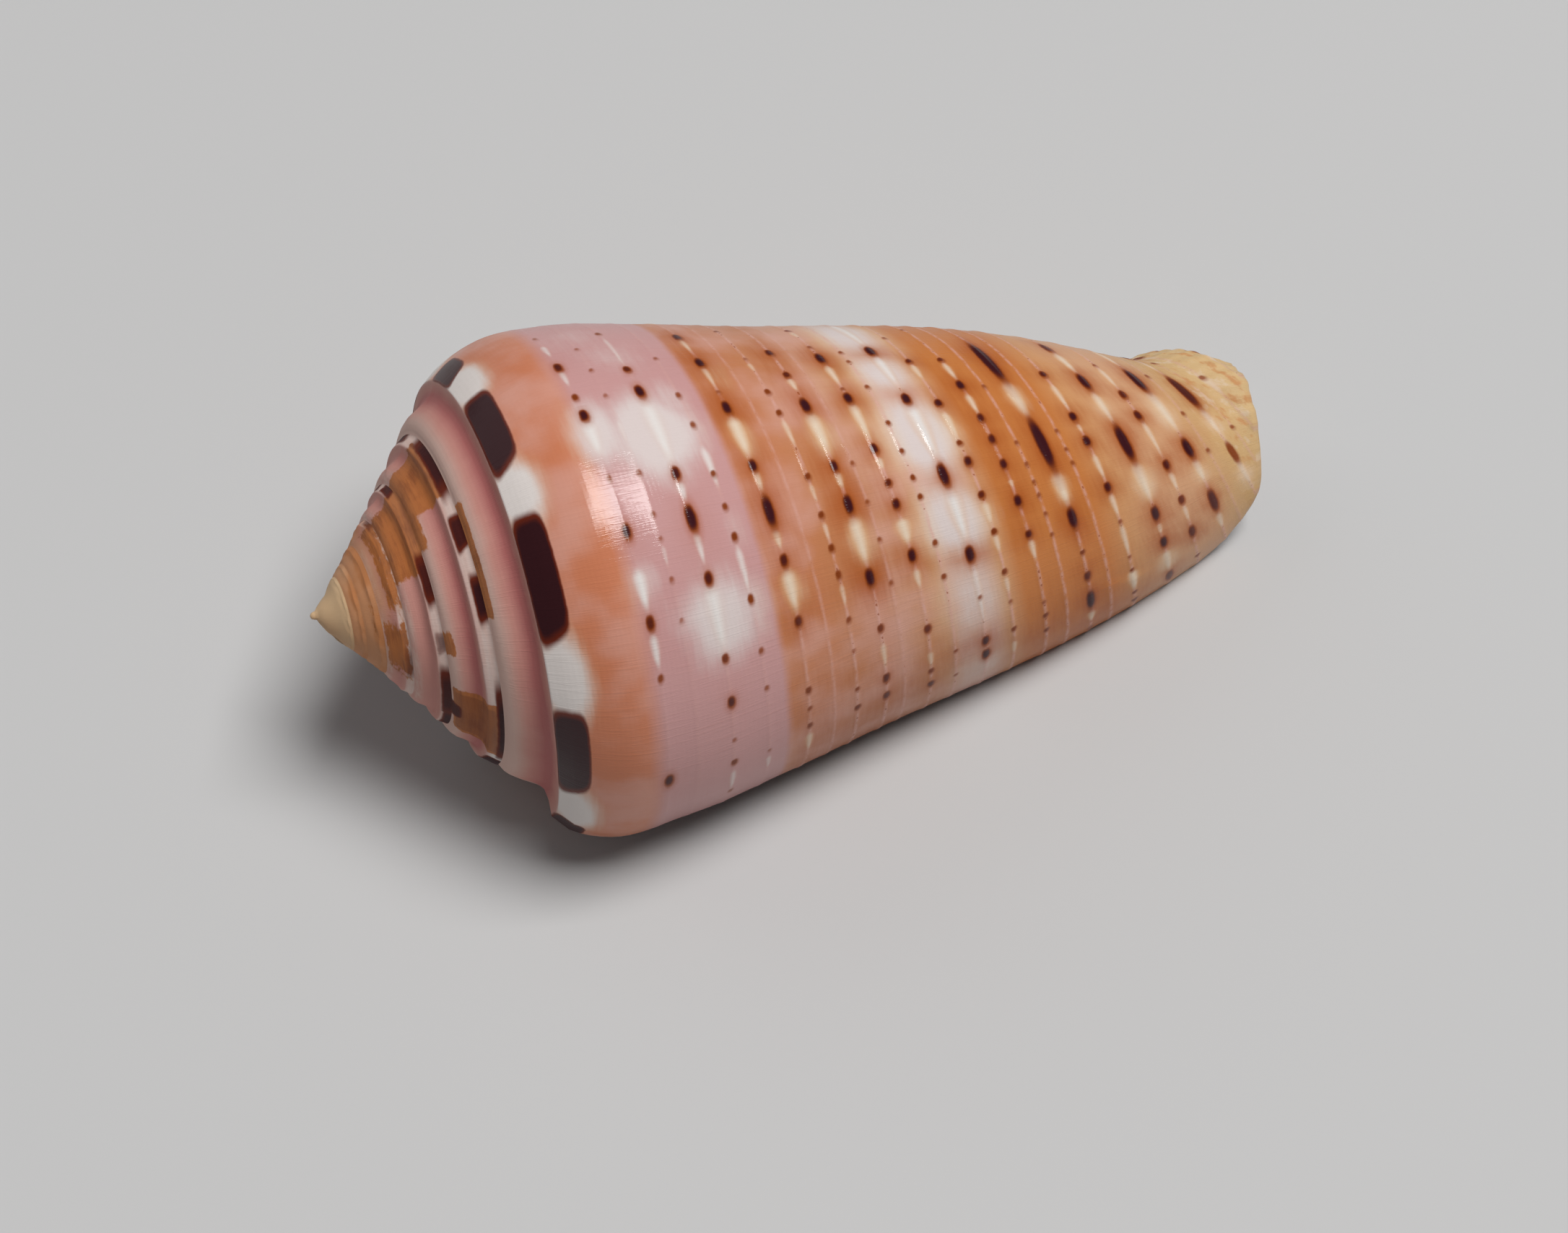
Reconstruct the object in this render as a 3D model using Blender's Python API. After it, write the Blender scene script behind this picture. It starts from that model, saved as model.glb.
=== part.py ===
"""Cone shell lying on its aperture: one closed solid with its spire, last whorl, slit and columella."""
import math

import bmesh
import bpy
import numpy as np
from mathutils import Matrix

MM = 0.001

# Growth: every outline point moves out along a spiral that grows by this ratio in each whorl
WHORL_GROWTH = 1.382
STEPS_PER_WHORL = 48
SPIRE_WHORLS = 7
CAVITY_STEPS = 24

# Outline of the newest whorl at the lip, in mm: distance from the apex along the axis, radius
SIDE_OUTLINE = [
    (12.0, 15.70), (13.2, 16.62), (16.0, 17.90), (21.0, 18.10), (28.0, 16.90), (36.0, 15.20),
    (44.5, 13.60), (51.5, 12.05), (57.5, 10.25), (61.5, 8.75), (65.0, 7.25), (68.0, 6.25),
    (70.8, 6.55), (73.3, 5.10), (76.5, 3.50), (82.0, 2.60), (92.0, 2.00),
]
SUTURE_AXIAL = 13.2

# Ramp between suture and shoulder edge: share of the way out, height over the straight line in mm
RAMP_OUTLINE = [(0.0, 0.0), (0.14, 0.30), (0.36, 0.34), (0.76, -0.24), (1.0, 0.0)]
APEX_AXIAL = -0.40

# Anterior end, in mm from the apex along the axis, with turn angles in degrees back from the lip
SHELL_END = 64.6
LIP_CORNER_DEPTH = 5.0
LIP_CORNER_TURN = 45.0
COLUMELLA_END = 62.6
COLUMELLA_TIP = 62.9
WALL_END_TURN = 180.0
COLUMELLA_TURN = 260.0

# Columella, in mm: distance from the apex along the axis, radius
COLUMELLA_OUTLINE = [(5.0, 0.5), (40.0, 2.6), (52.0, 3.3), (57.0, 3.1), (60.3, 2.4), (62.0, 1.6), (62.8, 0.9)]
COLUMELLA_BLEND = 0.7

# Wall of the last whorl, in mm
WALL_THICKNESS = 1.5
LIP_THICKNESS = 0.95
LIP_TAPER_TURN = 40.0

# Rows from the suture to the anterior end, as shares of the way along the side
SIDE_ROWS = 26
FIRST_ROW_SHARE = 0.036

# Ramp point, counted from the suture, where the two halves of the lip's posterior face meet
LIP_FACE_POINT = 3

# Lying pose: turn of the lip from straight up, slope of the axis, and where the apex comes to.
# The height leaves WEAR_DEPTH of the three lowest places under the ground, to be worn flat
LIP_AZIMUTH = 123.4
AXIS_PITCH = 11.35
WEAR_DEPTH = 0.12
APEX_PLACE = (-32.02, 1.31, 16.85 - WEAR_DEPTH)
CUT_TOLERANCE = 1e-7
MERGE_DISTANCE = 1e-6

SHELL_COLOUR = (0.72, 0.36, 0.24, 1.0)
SHELL_ROUGHNESS = 0.28
SHARP_ANGLE = 35.0


def clear_scene():
    for old in list(bpy.data.objects):
        bpy.data.objects.remove(old, do_unlink=True)


def smooth_curve(points, at):
    """Cubic curve through the points, with slopes taken between each point's neighbours."""
    known = np.array(points)
    x, y = known[:, 0], known[:, 1]
    slope = np.gradient(y, x)
    at = np.clip(at, x[0], x[-1])
    k = np.clip(np.searchsorted(x, at, side="right") - 1, 0, len(x) - 2)
    span = x[k + 1] - x[k]
    t = (at - x[k]) / span
    bend = t * t * (3 - 2 * t)
    lead = t * (1 - t) ** 2 * span * slope[k]
    trail = t * t * (1 - t) * span * slope[k + 1]
    return y[k] * (1 - bend) + y[k + 1] * bend + lead - trail


def growth(turn):
    """Size of the shell at a turn angle, where the lip is 1 and earlier turns are smaller."""
    return WHORL_GROWTH ** (turn / 360.0)


def ease(t):
    t = np.clip(t, 0.0, 1.0)
    return t * t * (3 - 2 * t)


def shell_point(turn, axial, radius):
    """Points at a turn angle round the axis, which runs along +X from the apex."""
    angle = np.radians(turn + LIP_AZIMUTH)
    return np.stack([axial + 0 * angle, -radius * np.sin(angle), radius * np.cos(angle)], axis=-1)


def end_axial(turn):
    """Where the shell ends: rounded at the lip's corner, shorter at the columella."""
    back = -turn
    corner = LIP_CORNER_DEPTH * np.clip(1 - back / LIP_CORNER_TURN, 0, 1) ** 2
    short = (SHELL_END - COLUMELLA_END) * ease((back - WALL_END_TURN) / (COLUMELLA_TURN - WALL_END_TURN))
    return SHELL_END - corner - short


def outer_radius(turn, axial):
    """Radius of the outside: the grown side outline, joined smoothly to the columella."""
    scale = growth(turn)
    side = scale * smooth_curve(SIDE_OUTLINE, axial / scale)
    pillar = smooth_curve(COLUMELLA_OUTLINE, axial)
    share = np.clip(0.5 + 0.5 * (side - pillar) / COLUMELLA_BLEND, 0, 1)
    return pillar + (side - pillar) * share + COLUMELLA_BLEND * share * (1 - share)


def side_rows(turn):
    """Axial places of the rows on the side at each turn, from the suture to the anterior end."""
    shares = np.linspace(0, 1, SIDE_ROWS - 1)
    shares = np.concatenate([[0.0], FIRST_ROW_SHARE + (1 - FIRST_ROW_SHARE) * shares])
    start = growth(turn) * SUTURE_AXIAL
    return start[:, None] + (end_axial(turn) - start)[:, None] * shares[None, :]


def side_points(turn):
    axial = side_rows(turn)
    turns = turn[:, None] + 0 * axial
    return shell_point(turns, axial, outer_radius(turns, axial))


def inner_points(turn):
    """Inside of the last whorl's wall, which thins towards the lip."""
    axial = side_rows(turn)
    turns = turn[:, None] + 0 * axial
    wall = LIP_THICKNESS + (WALL_THICKNESS - LIP_THICKNESS) * ease(-turns / LIP_TAPER_TURN)
    return shell_point(turns, axial, outer_radius(turns, axial) - wall)


def ramp_points(turn):
    """Ramp from the suture out to the shoulder edge, then down to the next whorl's suture."""
    outer = np.array(SIDE_OUTLINE[0])
    join = np.array([SUTURE_AXIAL, smooth_curve(SIDE_OUTLINE, SUTURE_AXIAL)])
    inner = join / WHORL_GROWTH
    along = outer - inner
    lift = np.array([-along[1], along[0]]) / np.hypot(*along)
    line = [inner + share * along + height * lift for share, height in RAMP_OUTLINE] + [join]
    axial, radius = np.array(line).T
    scale = growth(turn)[:, None]
    return shell_point(turn[:, None] + 0 * scale * axial, scale * axial, scale * radius)


class SolidBuilder:
    """Collects points and faces of the solid, with grids of point numbers."""

    def __init__(self):
        self.points = []
        self.faces = []

    def add_points(self, grid):
        first = len(self.points)
        flat = grid.reshape(-1, 3)
        self.points.extend(flat.tolist())
        return first + np.arange(len(flat)).reshape(grid.shape[:-1])

    def add_strip(self, one, other):
        """Faces between two lines of points with the same count."""
        for a, b, c, d in zip(one[:-1], one[1:], other[1:], other[:-1]):
            corners = list(dict.fromkeys([int(a), int(b), int(c), int(d)]))
            if len(corners) > 2:
                self.faces.append(corners)

    def add_sheet(self, grid):
        for one, other in zip(grid[:-1], grid[1:]):
            self.add_strip(one, other)

    def add_fan(self, centre, line):
        for a, b in zip(line[:-1], line[1:]):
            if a != b:
                self.faces.append([centre, int(a), int(b)])


def build_shell_mesh():
    solid = SolidBuilder()
    step = 360.0 / STEPS_PER_WHORL
    whorl = STEPS_PER_WHORL
    spire_steps = SPIRE_WHORLS * whorl

    # Ramps of all whorls, each sharing its outer line with the next whorl's suture
    ramp_turn = step * np.arange(-spire_steps, 1)
    ramp = solid.add_points(ramp_points(ramp_turn))
    last = ramp.shape[1] - 1
    ramp[:-whorl, last] = ramp[whorl:, 0]
    solid.add_sheet(ramp)

    # Side of the last whorl
    side_turn = step * np.arange(-whorl, 1)
    side = solid.add_points(side_points(side_turn))
    side[:, 0] = ramp[-whorl - 1:, last]
    solid.add_sheet(side)

    # Cavity: the earlier whorl's side and the columella, and the inside of the wall
    core_turn = step * np.arange(-whorl - CAVITY_STEPS, -whorl + 1)
    core = solid.add_points(side_points(core_turn))
    core[-1, :] = side[0, :]
    core = core[:, 1:]
    solid.add_sheet(core)
    wall_turn = step * np.arange(-CAVITY_STEPS, 1)
    wall = solid.add_points(inner_points(wall_turn))[:, 1:]
    solid.add_sheet(wall)
    solid.add_strip(wall[:, 0], core[:, 0])
    solid.add_strip(wall[0, :], core[0, :])

    # Edge of the lip, and its face under the ramp
    solid.add_strip(side[-1, 1:], wall[-1, :])
    solid.add_fan(int(wall[-1, 0]), [side[-1, 1]] + list(ramp[-1, last:LIP_FACE_POINT - 1:-1]))
    solid.add_fan(int(core[-1, 0]), [wall[-1, 0]] + list(ramp[-1, LIP_FACE_POINT::-1]))

    # Anterior end: rim of the wall, and the end of the columella
    solid.add_strip(side[-CAVITY_STEPS - 1:, -1], wall[:, -1])
    centre = solid.add_points(np.array([[COLUMELLA_TIP, 0.0, 0.0]]))[0]
    ring = list(side[:-CAVITY_STEPS, -1]) + [wall[0, -1]] + list(core[:, -1])
    solid.add_fan(int(centre), ring)

    # Apex
    tip = solid.add_points(np.array([[APEX_AXIAL, 0.0, 0.0]]))[0]
    ring = list(ramp[:whorl + 1, 0]) + list(ramp[0, ::-1])
    solid.add_fan(int(tip), ring)
    return solid


def lying_matrix():
    """Turns the axis down at its anterior end, moves the shell over the origin, and scales to metres."""
    place = Matrix.Translation(APEX_PLACE)
    pitch = Matrix.Rotation(math.radians(AXIS_PITCH), 4, "Y")
    return Matrix.Scale(MM, 4) @ place @ pitch


def make_material():
    material = bpy.data.materials.new("shell_gloss")
    material.use_nodes = True
    shader = material.node_tree.nodes["Principled BSDF"]
    shader.inputs["Base Color"].default_value = SHELL_COLOUR
    shader.inputs["Roughness"].default_value = SHELL_ROUGHNESS
    shader.inputs["Metallic"].default_value = 0.0
    material.diffuse_color = SHELL_COLOUR
    return material


def wear_flat(bm):
    """Small flat spots where the shell lies: everything below the ground plane is worn away."""
    cut = bmesh.ops.bisect_plane(
        bm, geom=bm.verts[:] + bm.edges[:] + bm.faces[:], dist=CUT_TOLERANCE,
        plane_co=(0, 0, 0), plane_no=(0, 0, -1), clear_outer=True)
    rims = [part for part in cut["geom_cut"] if isinstance(part, bmesh.types.BMEdge)]
    bmesh.ops.holes_fill(bm, edges=rims, sides=0)
    bmesh.ops.remove_doubles(bm, verts=bm.verts[:], dist=MERGE_DISTANCE)


def make_shell(collection):
    solid = build_shell_mesh()
    bm = bmesh.new()
    points = [bm.verts.new(point) for point in solid.points]
    for corners in solid.faces:
        bm.faces.new([points[k] for k in corners])
    loose = [point for point in bm.verts if not point.link_faces]
    bmesh.ops.delete(bm, geom=loose, context="VERTS")
    bm.transform(lying_matrix())
    wear_flat(bm)
    bmesh.ops.recalc_face_normals(bm, faces=bm.faces[:])
    mesh = bpy.data.meshes.new("shell")
    bm.to_mesh(mesh)
    bm.free()
    mesh.shade_smooth()
    mesh.set_sharp_from_angle(angle=math.radians(SHARP_ANGLE))
    mesh.materials.append(make_material())
    shell = bpy.data.objects.new("shell", mesh)
    collection.objects.link(shell)
    return shell


def main():
    clear_scene()
    collection = bpy.data.collections.new("cone_shell")
    bpy.context.scene.collection.children.link(collection)
    make_shell(collection)


main()
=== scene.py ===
# Cone shell lying on its aperture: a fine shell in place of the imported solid, with floor, light and camera
import math

import bmesh
import bpy
import numpy as np
from mathutils import Matrix, Vector


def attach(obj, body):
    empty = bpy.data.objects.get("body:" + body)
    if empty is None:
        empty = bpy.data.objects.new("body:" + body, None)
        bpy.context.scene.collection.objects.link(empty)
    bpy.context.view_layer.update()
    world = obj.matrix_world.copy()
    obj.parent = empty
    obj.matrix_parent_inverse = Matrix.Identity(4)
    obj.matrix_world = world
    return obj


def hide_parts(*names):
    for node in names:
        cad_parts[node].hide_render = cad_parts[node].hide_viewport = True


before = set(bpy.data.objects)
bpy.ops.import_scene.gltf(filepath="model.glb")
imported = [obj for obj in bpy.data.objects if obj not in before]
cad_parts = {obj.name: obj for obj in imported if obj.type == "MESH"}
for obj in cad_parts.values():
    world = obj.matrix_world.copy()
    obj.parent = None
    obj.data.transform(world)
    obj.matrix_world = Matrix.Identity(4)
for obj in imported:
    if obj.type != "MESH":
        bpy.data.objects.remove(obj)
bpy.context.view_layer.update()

print("frame loaded:", sorted(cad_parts))

mm = 0.001

# Form of the shell, in mm and degrees. Turn angles run back from the lip, which is 0.
# Outlines give the newest whorl at the lip: distance from the apex along the axis, then radius
shellForm = {
    "whorlGrowth": 1.382,            # each whorl is this many times as large as the one before
    "sideOutline": [
        (12.0, 15.70), (13.2, 16.62), (16.0, 17.90), (21.0, 18.10), (28.0, 16.90), (36.0, 15.20),
        (44.5, 13.60), (51.5, 12.05), (57.5, 10.25), (61.5, 8.75), (65.0, 7.25), (68.0, 6.25),
        (70.8, 6.55), (73.3, 5.10), (76.5, 3.50), (82.0, 2.60), (92.0, 2.00)],
    "sutureAxial": 13.2,
    "rampOutline": [(0.0, 0.0), (0.12, 0.20), (0.32, 0.18), (0.60, -0.34), (0.82, -0.40), (1.0, 0.0)],
    "shellEnd": 64.6,
    "lipCornerDepth": 6.5,
    "lipCornerTurn": 45.0,
    "lipCornerBend": 0.98,           # 1 would make the corner a whole quarter ellipse
    "columellaEnd": 62.6,
    "columellaTip": 62.9,
    "wallEndTurn": 180.0,
    "columellaTurn": 260.0,
    "columellaOutline": [
        (5, 0.5), (40, 2.6), (52, 3.3), (57, 3.1), (60.3, 2.4), (62, 1.6), (62.8, 0.9)],
    "columellaBlend": 0.7,
    "wallThickness": 1.5,
    "lipThickness": 0.85,
    "lipTaperTurn": 40.0,
    "cavityStart": 3.0,              # degrees behind the lip where the cavity's sheet begins
    "cavityLipGap": 0.9,
    "ceilingEnd": 16.5,              # place where the cavity's ceiling meets the inside of the wall
    "ceilingMiddle": (13.7, 16.1),
    "rimDepth": 0.8,                 # the rounded rims bulge by this share of half their width
    "deepEndDepth": 1.4,
    "rimRise": 0.56,                 # how far the rounded rim stands out from the wall's end
    "lipAzimuth": 123.4,
    "axisPitch": 11.35,
    "apexPlace": (-32.02, 1.31, 16.67),
    "apexRings": [(0.92, 0.66, 0.45), (0.66, 0.38, 0.8), (0.44, 0.14, 1.0), (0.29, -0.02, 1.0),
                  (0.26, -0.16, 1.0), (0.20, -0.30, 1.0), (0.11, -0.38, 1.0)],
    "apexAxial": -0.40,
    "apexEven": 0.7,                 # rings more even than this close without a step
    "apexFullness": 0.55,            # the first whorls stand out by this much more, within apexReach
    "apexReach": 2.6,
    "apexCore": 0.25,                # nothing changes this near the axis, nor deeper than apexDepth
    "apexCoreFade": 0.6,
    "apexDepth": 10.0,
    "apexShift": 0.25,
    "shoulderFlare": 0.62,           # the shoulder swells towards the lip
    "flareRound": 148.0,             # from this round on
    "flareDegrees": 26.0,
    "lipHollow": 0.50,               # and the ramp sinks there
    "rampLift": (0.83, 0.555),       # a ramp's relief lifts it this much towards the apex and outwards
}

# Low relief over the smooth form: heights and widths in mm, places as in sideRows
relief = {
    "ribWidth": 0.21,
    "ribChange": 0.25,
    "waveHeight": 0.012,
    "neckStart": 66.5,
    "neckFade": 3.0,
    "neckThreadHeight": 0.05,
    "neckThreadRate": 4.1,
    "neckWaveHeight": 0.07,
    "flareEnd": 22.0,
    "flareFade": 8.5,
    "scarHeight": 0.10,              # a healed break near the lip: a low step that fades along the round
    "scarPlace": 54.3,
    "scarHalfWidth": 1.9,
    "scarRound": 147.5,
    "scarSlant": 1.4,
    "scarFade": 14.0,
    "flatRound": -600.0,             # older whorls are worn flat from here on
    "flatDegrees": 420.0,
    "flatShare": 0.85,
    "rampWaveHeight": 0.09,
    "beadHeight": 0.12,
    "beadPlace": 11.7,
    "beadHalfWidth": 0.8,
    "beadsPerWhorl": 11.0,
}

# Growth wrinkles across the spire's ramps: round, half width in degrees, height, place from, place to
wrinkles = [
    (-349, 2.2, 0.22, 8.6, 13.0), (-342, 1.6, -0.10, 8.4, 12.8), (-708, 2.4, 0.26, 8.4, 13.0),
    (-700, 1.8, -0.12, 8.2, 12.6), (8, 1.8, 0.10, 8.2, 11.8), (-184, 2.0, 0.08, 8.0, 12.5),
    (-120, 1.5, 0.06, 8.0, 12.0), (-540, 2.5, 0.12, 8.0, 13.0), (-890, 3.0, 0.16, 8.0, 13.0),
    (-1075, 4.0, 0.22, 8.0, 13.0), (-1240, 4.0, 0.2, 8.0, 13.0), (-1430, 5.0, 0.25, 8.0, 13.0),
]

# Fineness of the mesh
shellMesh = {
    "stepsPerWhorl": 216,
    "spireWhorls": 7,
    "rampShares": [0.0, 0.06, 0.14, 0.24, 0.36, 0.50, 0.63, 0.76, 0.87, 0.95, 1.0],
    "bandPlaces": [12.12, 12.5, 12.85, 13.2],
    "coreStartRow": 4,
    "coreStartPlace": 15.84,
    "ribStart": 18.3,
    "ribOffsets": [-0.34, -0.2, -0.1, 0.0, 0.1, 0.2, 0.34],
    "rowGap": 0.6,
    "farRows": 36,
    "farPlace": 102.0,
    "cavitySteps": 60,
    "wallRows": 33,
    "ceilingPoints": 8,
    "endSnap": 0.06,                 # rows this near the anterior end run into it
    "tipShares": (0.12, 0.3, 0.55, 0.8),
    "tipEvening": 90,
}

# Spiral rows of the side. Place is mm along the axis at the lip, and round is degrees round the shell:
# 180 is the lip, 90 faces the camera and 0 is the top of the picture.
# Each row: place, rib height, dark marks as (round, half length in degrees, darkness), and pale dashes as
# (round from, round to, strength)
sideRows = [
    (18.96, 0.018,
     [(27, 0.8, 0.2), (43, 1.5, 0.75), (54, 1.0, 0.5), (59.5, 1.6, 0.85), (76, 0.9, 0.3), (88, 1.6, 0.85),
      (108, 1.6, 0.7), (120.5, 0.9, 0.4), (149.5, 2.0, 0.8)],
     [(33, 38, 0.5), (45, 50, 0.5), (62, 70, 0.9), (97, 105, 0.9), (111, 118, 0.7)]),
    (21.09, 0.018,
     [(36.5, 0.6, 0.2), (46, 0.6, 0.25), (55, 0.6, 0.2), (76, 0.8, 0.35), (85.5, 0.6, 0.3), (91, 0.5, 0.2),
      (100, 0.6, 0.25), (109, 0.5, 0.2)],
     [(63, 68, 0.3), (93, 97, 0.3)]),
    (23.62, 0.030,
     [(28.5, 1.0, 0.4), (47, 1.2, 0.7), (55, 2.0, 0.9), (77.5, 1.6, 0.8), (88, 3.0, 1.0), (101.5, 1.6, 0.75),
      (120, 1.1, 0.6), (131, 1.5, 0.75), (142.5, 0.6, 0.25), (150.5, 1.1, 0.55), (165, 1.0, 0.3)],
     [(33, 45, 0.35), (60, 75, 1.0), (80, 84, 0.7), (92, 98, 0.6), (104, 118, 1.0), (155, 163, 0.5)]),
    (26.26, 0.032,
     [(43, 0.6, 0.25), (57, 0.9, 0.35), (66, 0.9, 0.35), (79, 0.8, 0.4), (87, 0.8, 0.4), (94, 1.0, 0.5),
      (108.5, 1.1, 0.45), (121, 0.8, 0.35), (131, 0.7, 0.3), (152, 0.5, 0.2)],
     [(73, 82, 0.7), (97, 107, 0.6), (155, 160, 0.4)]),
    (29.30, 0.045,
     [(31.5, 2.0, 0.8), (45.5, 2.0, 0.9), (57, 0.6, 0.25), (62, 2.0, 0.9), (78.5, 1.6, 0.85), (90, 4.0, 1.0),
      (102, 1.6, 0.75), (117, 1.5, 0.7), (136.5, 1.0, 0.5), (142.5, 0.7, 0.35), (149, 1.0, 0.45)],
     [(34, 40, 0.5), (48, 55, 0.5), (66, 76, 1.0), (80, 85, 0.6), (95, 99, 0.6), (105, 114, 1.0),
      (153, 160, 0.6)]),
    (31.22, 0.030, [], []),
    (32.95, 0.042,
     [(26, 0.8, 0.4), (44.5, 0.6, 0.2), (58, 0.9, 0.45), (65, 0.9, 0.45), (83.5, 0.9, 0.5), (93.5, 0.9, 0.5),
      (102, 0.9, 0.5), (109, 1.1, 0.45), (121, 0.8, 0.4), (130, 0.6, 0.2), (143, 0.7, 0.4),
      (150.5, 1.0, 0.6)],
     [(47, 50, 0.4), (68, 75, 0.5), (86, 90, 0.4), (96, 100, 0.4), (112, 117, 0.4)]),
    (35.18, 0.048,
     [(41.5, 1.5, 0.75), (52, 1.1, 0.7), (63.5, 2.6, 1.0), (82, 1.6, 0.8), (92.5, 2.6, 1.0), (112, 2.6, 1.0),
      (126.5, 1.1, 0.6), (143.5, 1.6, 0.7), (151, 1.6, 0.7)],
     [(54, 58, 0.6), (67, 78, 1.0), (84, 88, 0.6), (97, 108, 1.0), (132, 139, 0.5)]),
    (36.60, 0.028, [(82, 0.5, 0.3), (93, 0.5, 0.3), (103, 0.5, 0.3), (115, 0.5, 0.3)], []),
    (38.63, 0.050,
     [(25, 1.0, 0.5), (39, 0.8, 0.3), (45.5, 2.5, 0.95), (59, 0.6, 0.3), (62.5, 2.0, 0.9), (79, 1.5, 0.8),
      (89, 1.1, 0.7), (95, 1.6, 0.8), (109.5, 2.0, 0.85), (132, 1.5, 0.65), (148.5, 1.0, 0.5),
      (155, 1.5, 0.7)],
     [(28, 32, 0.5), (50, 57, 0.7), (65, 76, 0.8), (82, 85, 0.6), (100, 106, 1.0), (114, 119, 0.6),
      (141, 146, 0.5)]),
    (40.55, 0.040,
     [(43, 0.7, 0.35), (48, 0.6, 0.3), (59, 0.7, 0.35), (72, 0.8, 0.4), (81, 0.8, 0.4), (89, 0.8, 0.45),
      (94.5, 0.8, 0.45), (108, 0.9, 0.4), (118, 0.8, 0.4), (144, 0.6, 0.35), (156, 0.6, 0.3)],
     []),
    (42.88, 0.055,
     [(43, 2.6, 1.0), (65, 2.0, 0.9), (90, 3.5, 1.0), (114, 2.6, 1.0), (128, 0.6, 0.3), (145, 2.0, 0.8),
      (151.5, 2.5, 0.85)],
     [(20, 40, 0.8), (47, 60, 0.8), (68, 85, 1.0), (96, 110, 1.0), (118, 138, 0.5)]),
    (45.11, 0.055,
     [(34.5, 0.8, 0.3), (49.5, 1.1, 0.7), (67.5, 1.5, 0.8), (81.5, 0.9, 0.5), (87.5, 1.6, 0.8),
      (98, 1.2, 0.7), (109.5, 1.0, 0.55), (122.5, 0.9, 0.5), (133.5, 0.6, 0.25), (145, 0.9, 0.45)],
     [(52, 58, 0.6), (72, 80, 0.7), (101, 107, 0.7), (111, 116, 0.6), (125, 130, 0.5), (152, 158, 0.5)]),
    (47.65, 0.060,
     [(26, 0.8, 0.3), (49.5, 1.1, 0.65), (61.5, 2.0, 0.85), (74.5, 1.5, 0.75), (82, 1.5, 0.75),
      (90.5, 1.6, 0.8), (102.5, 2.0, 0.85), (113.5, 1.5, 0.75), (139, 0.7, 0.25), (145, 1.0, 0.5),
      (153, 1.0, 0.5)],
     [(52, 59, 0.6), (66, 73, 0.6), (96, 98, 0.4), (116, 122, 0.6)]),
    (49.37, 0.042,
     [(63, 0.5, 0.3), (84.5, 0.5, 0.3), (92, 0.5, 0.3), (98, 0.5, 0.3), (102.5, 0.5, 0.3), (109, 0.5, 0.3),
      (116, 0.5, 0.3)],
     []),
    (51.30, 0.065,
     [(50.2, 11.2, 1.0), (86.5, 9.5, 1.0), (113, 4.0, 0.95), (126, 0.9, 0.5), (136, 2.0, 0.7),
      (148, 5.0, 0.9), (171.5, 3.5, 0.3)],
     [(63, 76, 1.0), (98, 108, 1.0), (156, 162, 0.7)]),
    (52.92, 0.040, [(83, 0.5, 0.3), (90, 0.5, 0.3), (95, 0.5, 0.3)], []),
    (54.85, 0.065,
     [(58.5, 1.6, 0.75), (78.5, 2.0, 0.85), (88.5, 2.0, 0.85), (106.5, 2.0, 0.8), (120.5, 0.6, 0.3),
      (136.5, 0.7, 0.25), (143.5, 0.6, 0.4), (158, 1.0, 0.5), (165.5, 1.5, 0.6)],
     [(65, 75, 0.6), (82, 85, 0.4), (95, 103, 0.6), (110, 118, 0.6), (123, 135, 0.6), (145, 155, 0.9)]),
    (57.79, 0.060,
     [(38, 4.0, 0.7), (62.5, 4.5, 0.85), (92, 8.0, 1.0), (123.5, 3.5, 0.85), (138, 3.0, 0.85),
      (163.5, 4.5, 0.7)],
     [(45, 57, 0.8), (70, 83, 0.8), (102, 117, 1.0), (129, 133, 0.5), (145, 157, 0.8)]),
    (60.22, 0.050,
     [(51, 0.8, 0.3), (70.3, 2.2, 0.7), (81.5, 2.5, 0.75), (105.5, 2.5, 0.75), (123, 2.0, 0.65),
      (141.5, 3.5, 0.7), (162, 1.0, 0.5)],
     [(55, 66, 0.6), (86, 100, 0.6), (110, 118, 0.6), (127, 135, 0.5)]),
    (62.65, 0.050,
     [(60.3, 8.2, 0.9), (101.5, 5.5, 0.9), (132, 7.0, 0.75)],
     [(32, 48, 0.7), (70, 92, 1.0), (109, 120, 0.8), (142, 152, 0.7)]),
    (64.17, 0.030, [(56, 0.8, 0.3), (83, 0.8, 0.3), (106, 0.8, 0.3)], []),
    (66.00, 0.045,
     [(17, 12.0, 0.8), (68, 13.0, 0.75), (112, 7.0, 0.4)],
     [(32, 50, 0.6), (84, 100, 0.8), (120, 136, 0.7)]),
    (67.32, 0.030, [(34, 1.6, 0.35), (97, 1.2, 0.3)], []),
    (68.74, 0.035, [(8, 4.0, 0.5), (58, 2.2, 0.3)], [(12, 24, 0.6), (62, 74, 0.6)]),
    (71.10, 0.040, [(-8, 6.0, 0.7), (30, 5.0, 0.35)], [(36, 52, 0.7)]),
    (74.20, 0.045, [(2, 6.0, 0.5)], [(8, 22, 0.6)]),
    (77.60, 0.045, [(-30, 8.0, 0.7)], [(-20, -6, 0.6)]),
    (81.00, 0.045, [(-70, 7.0, 0.6)], []),
]

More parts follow.
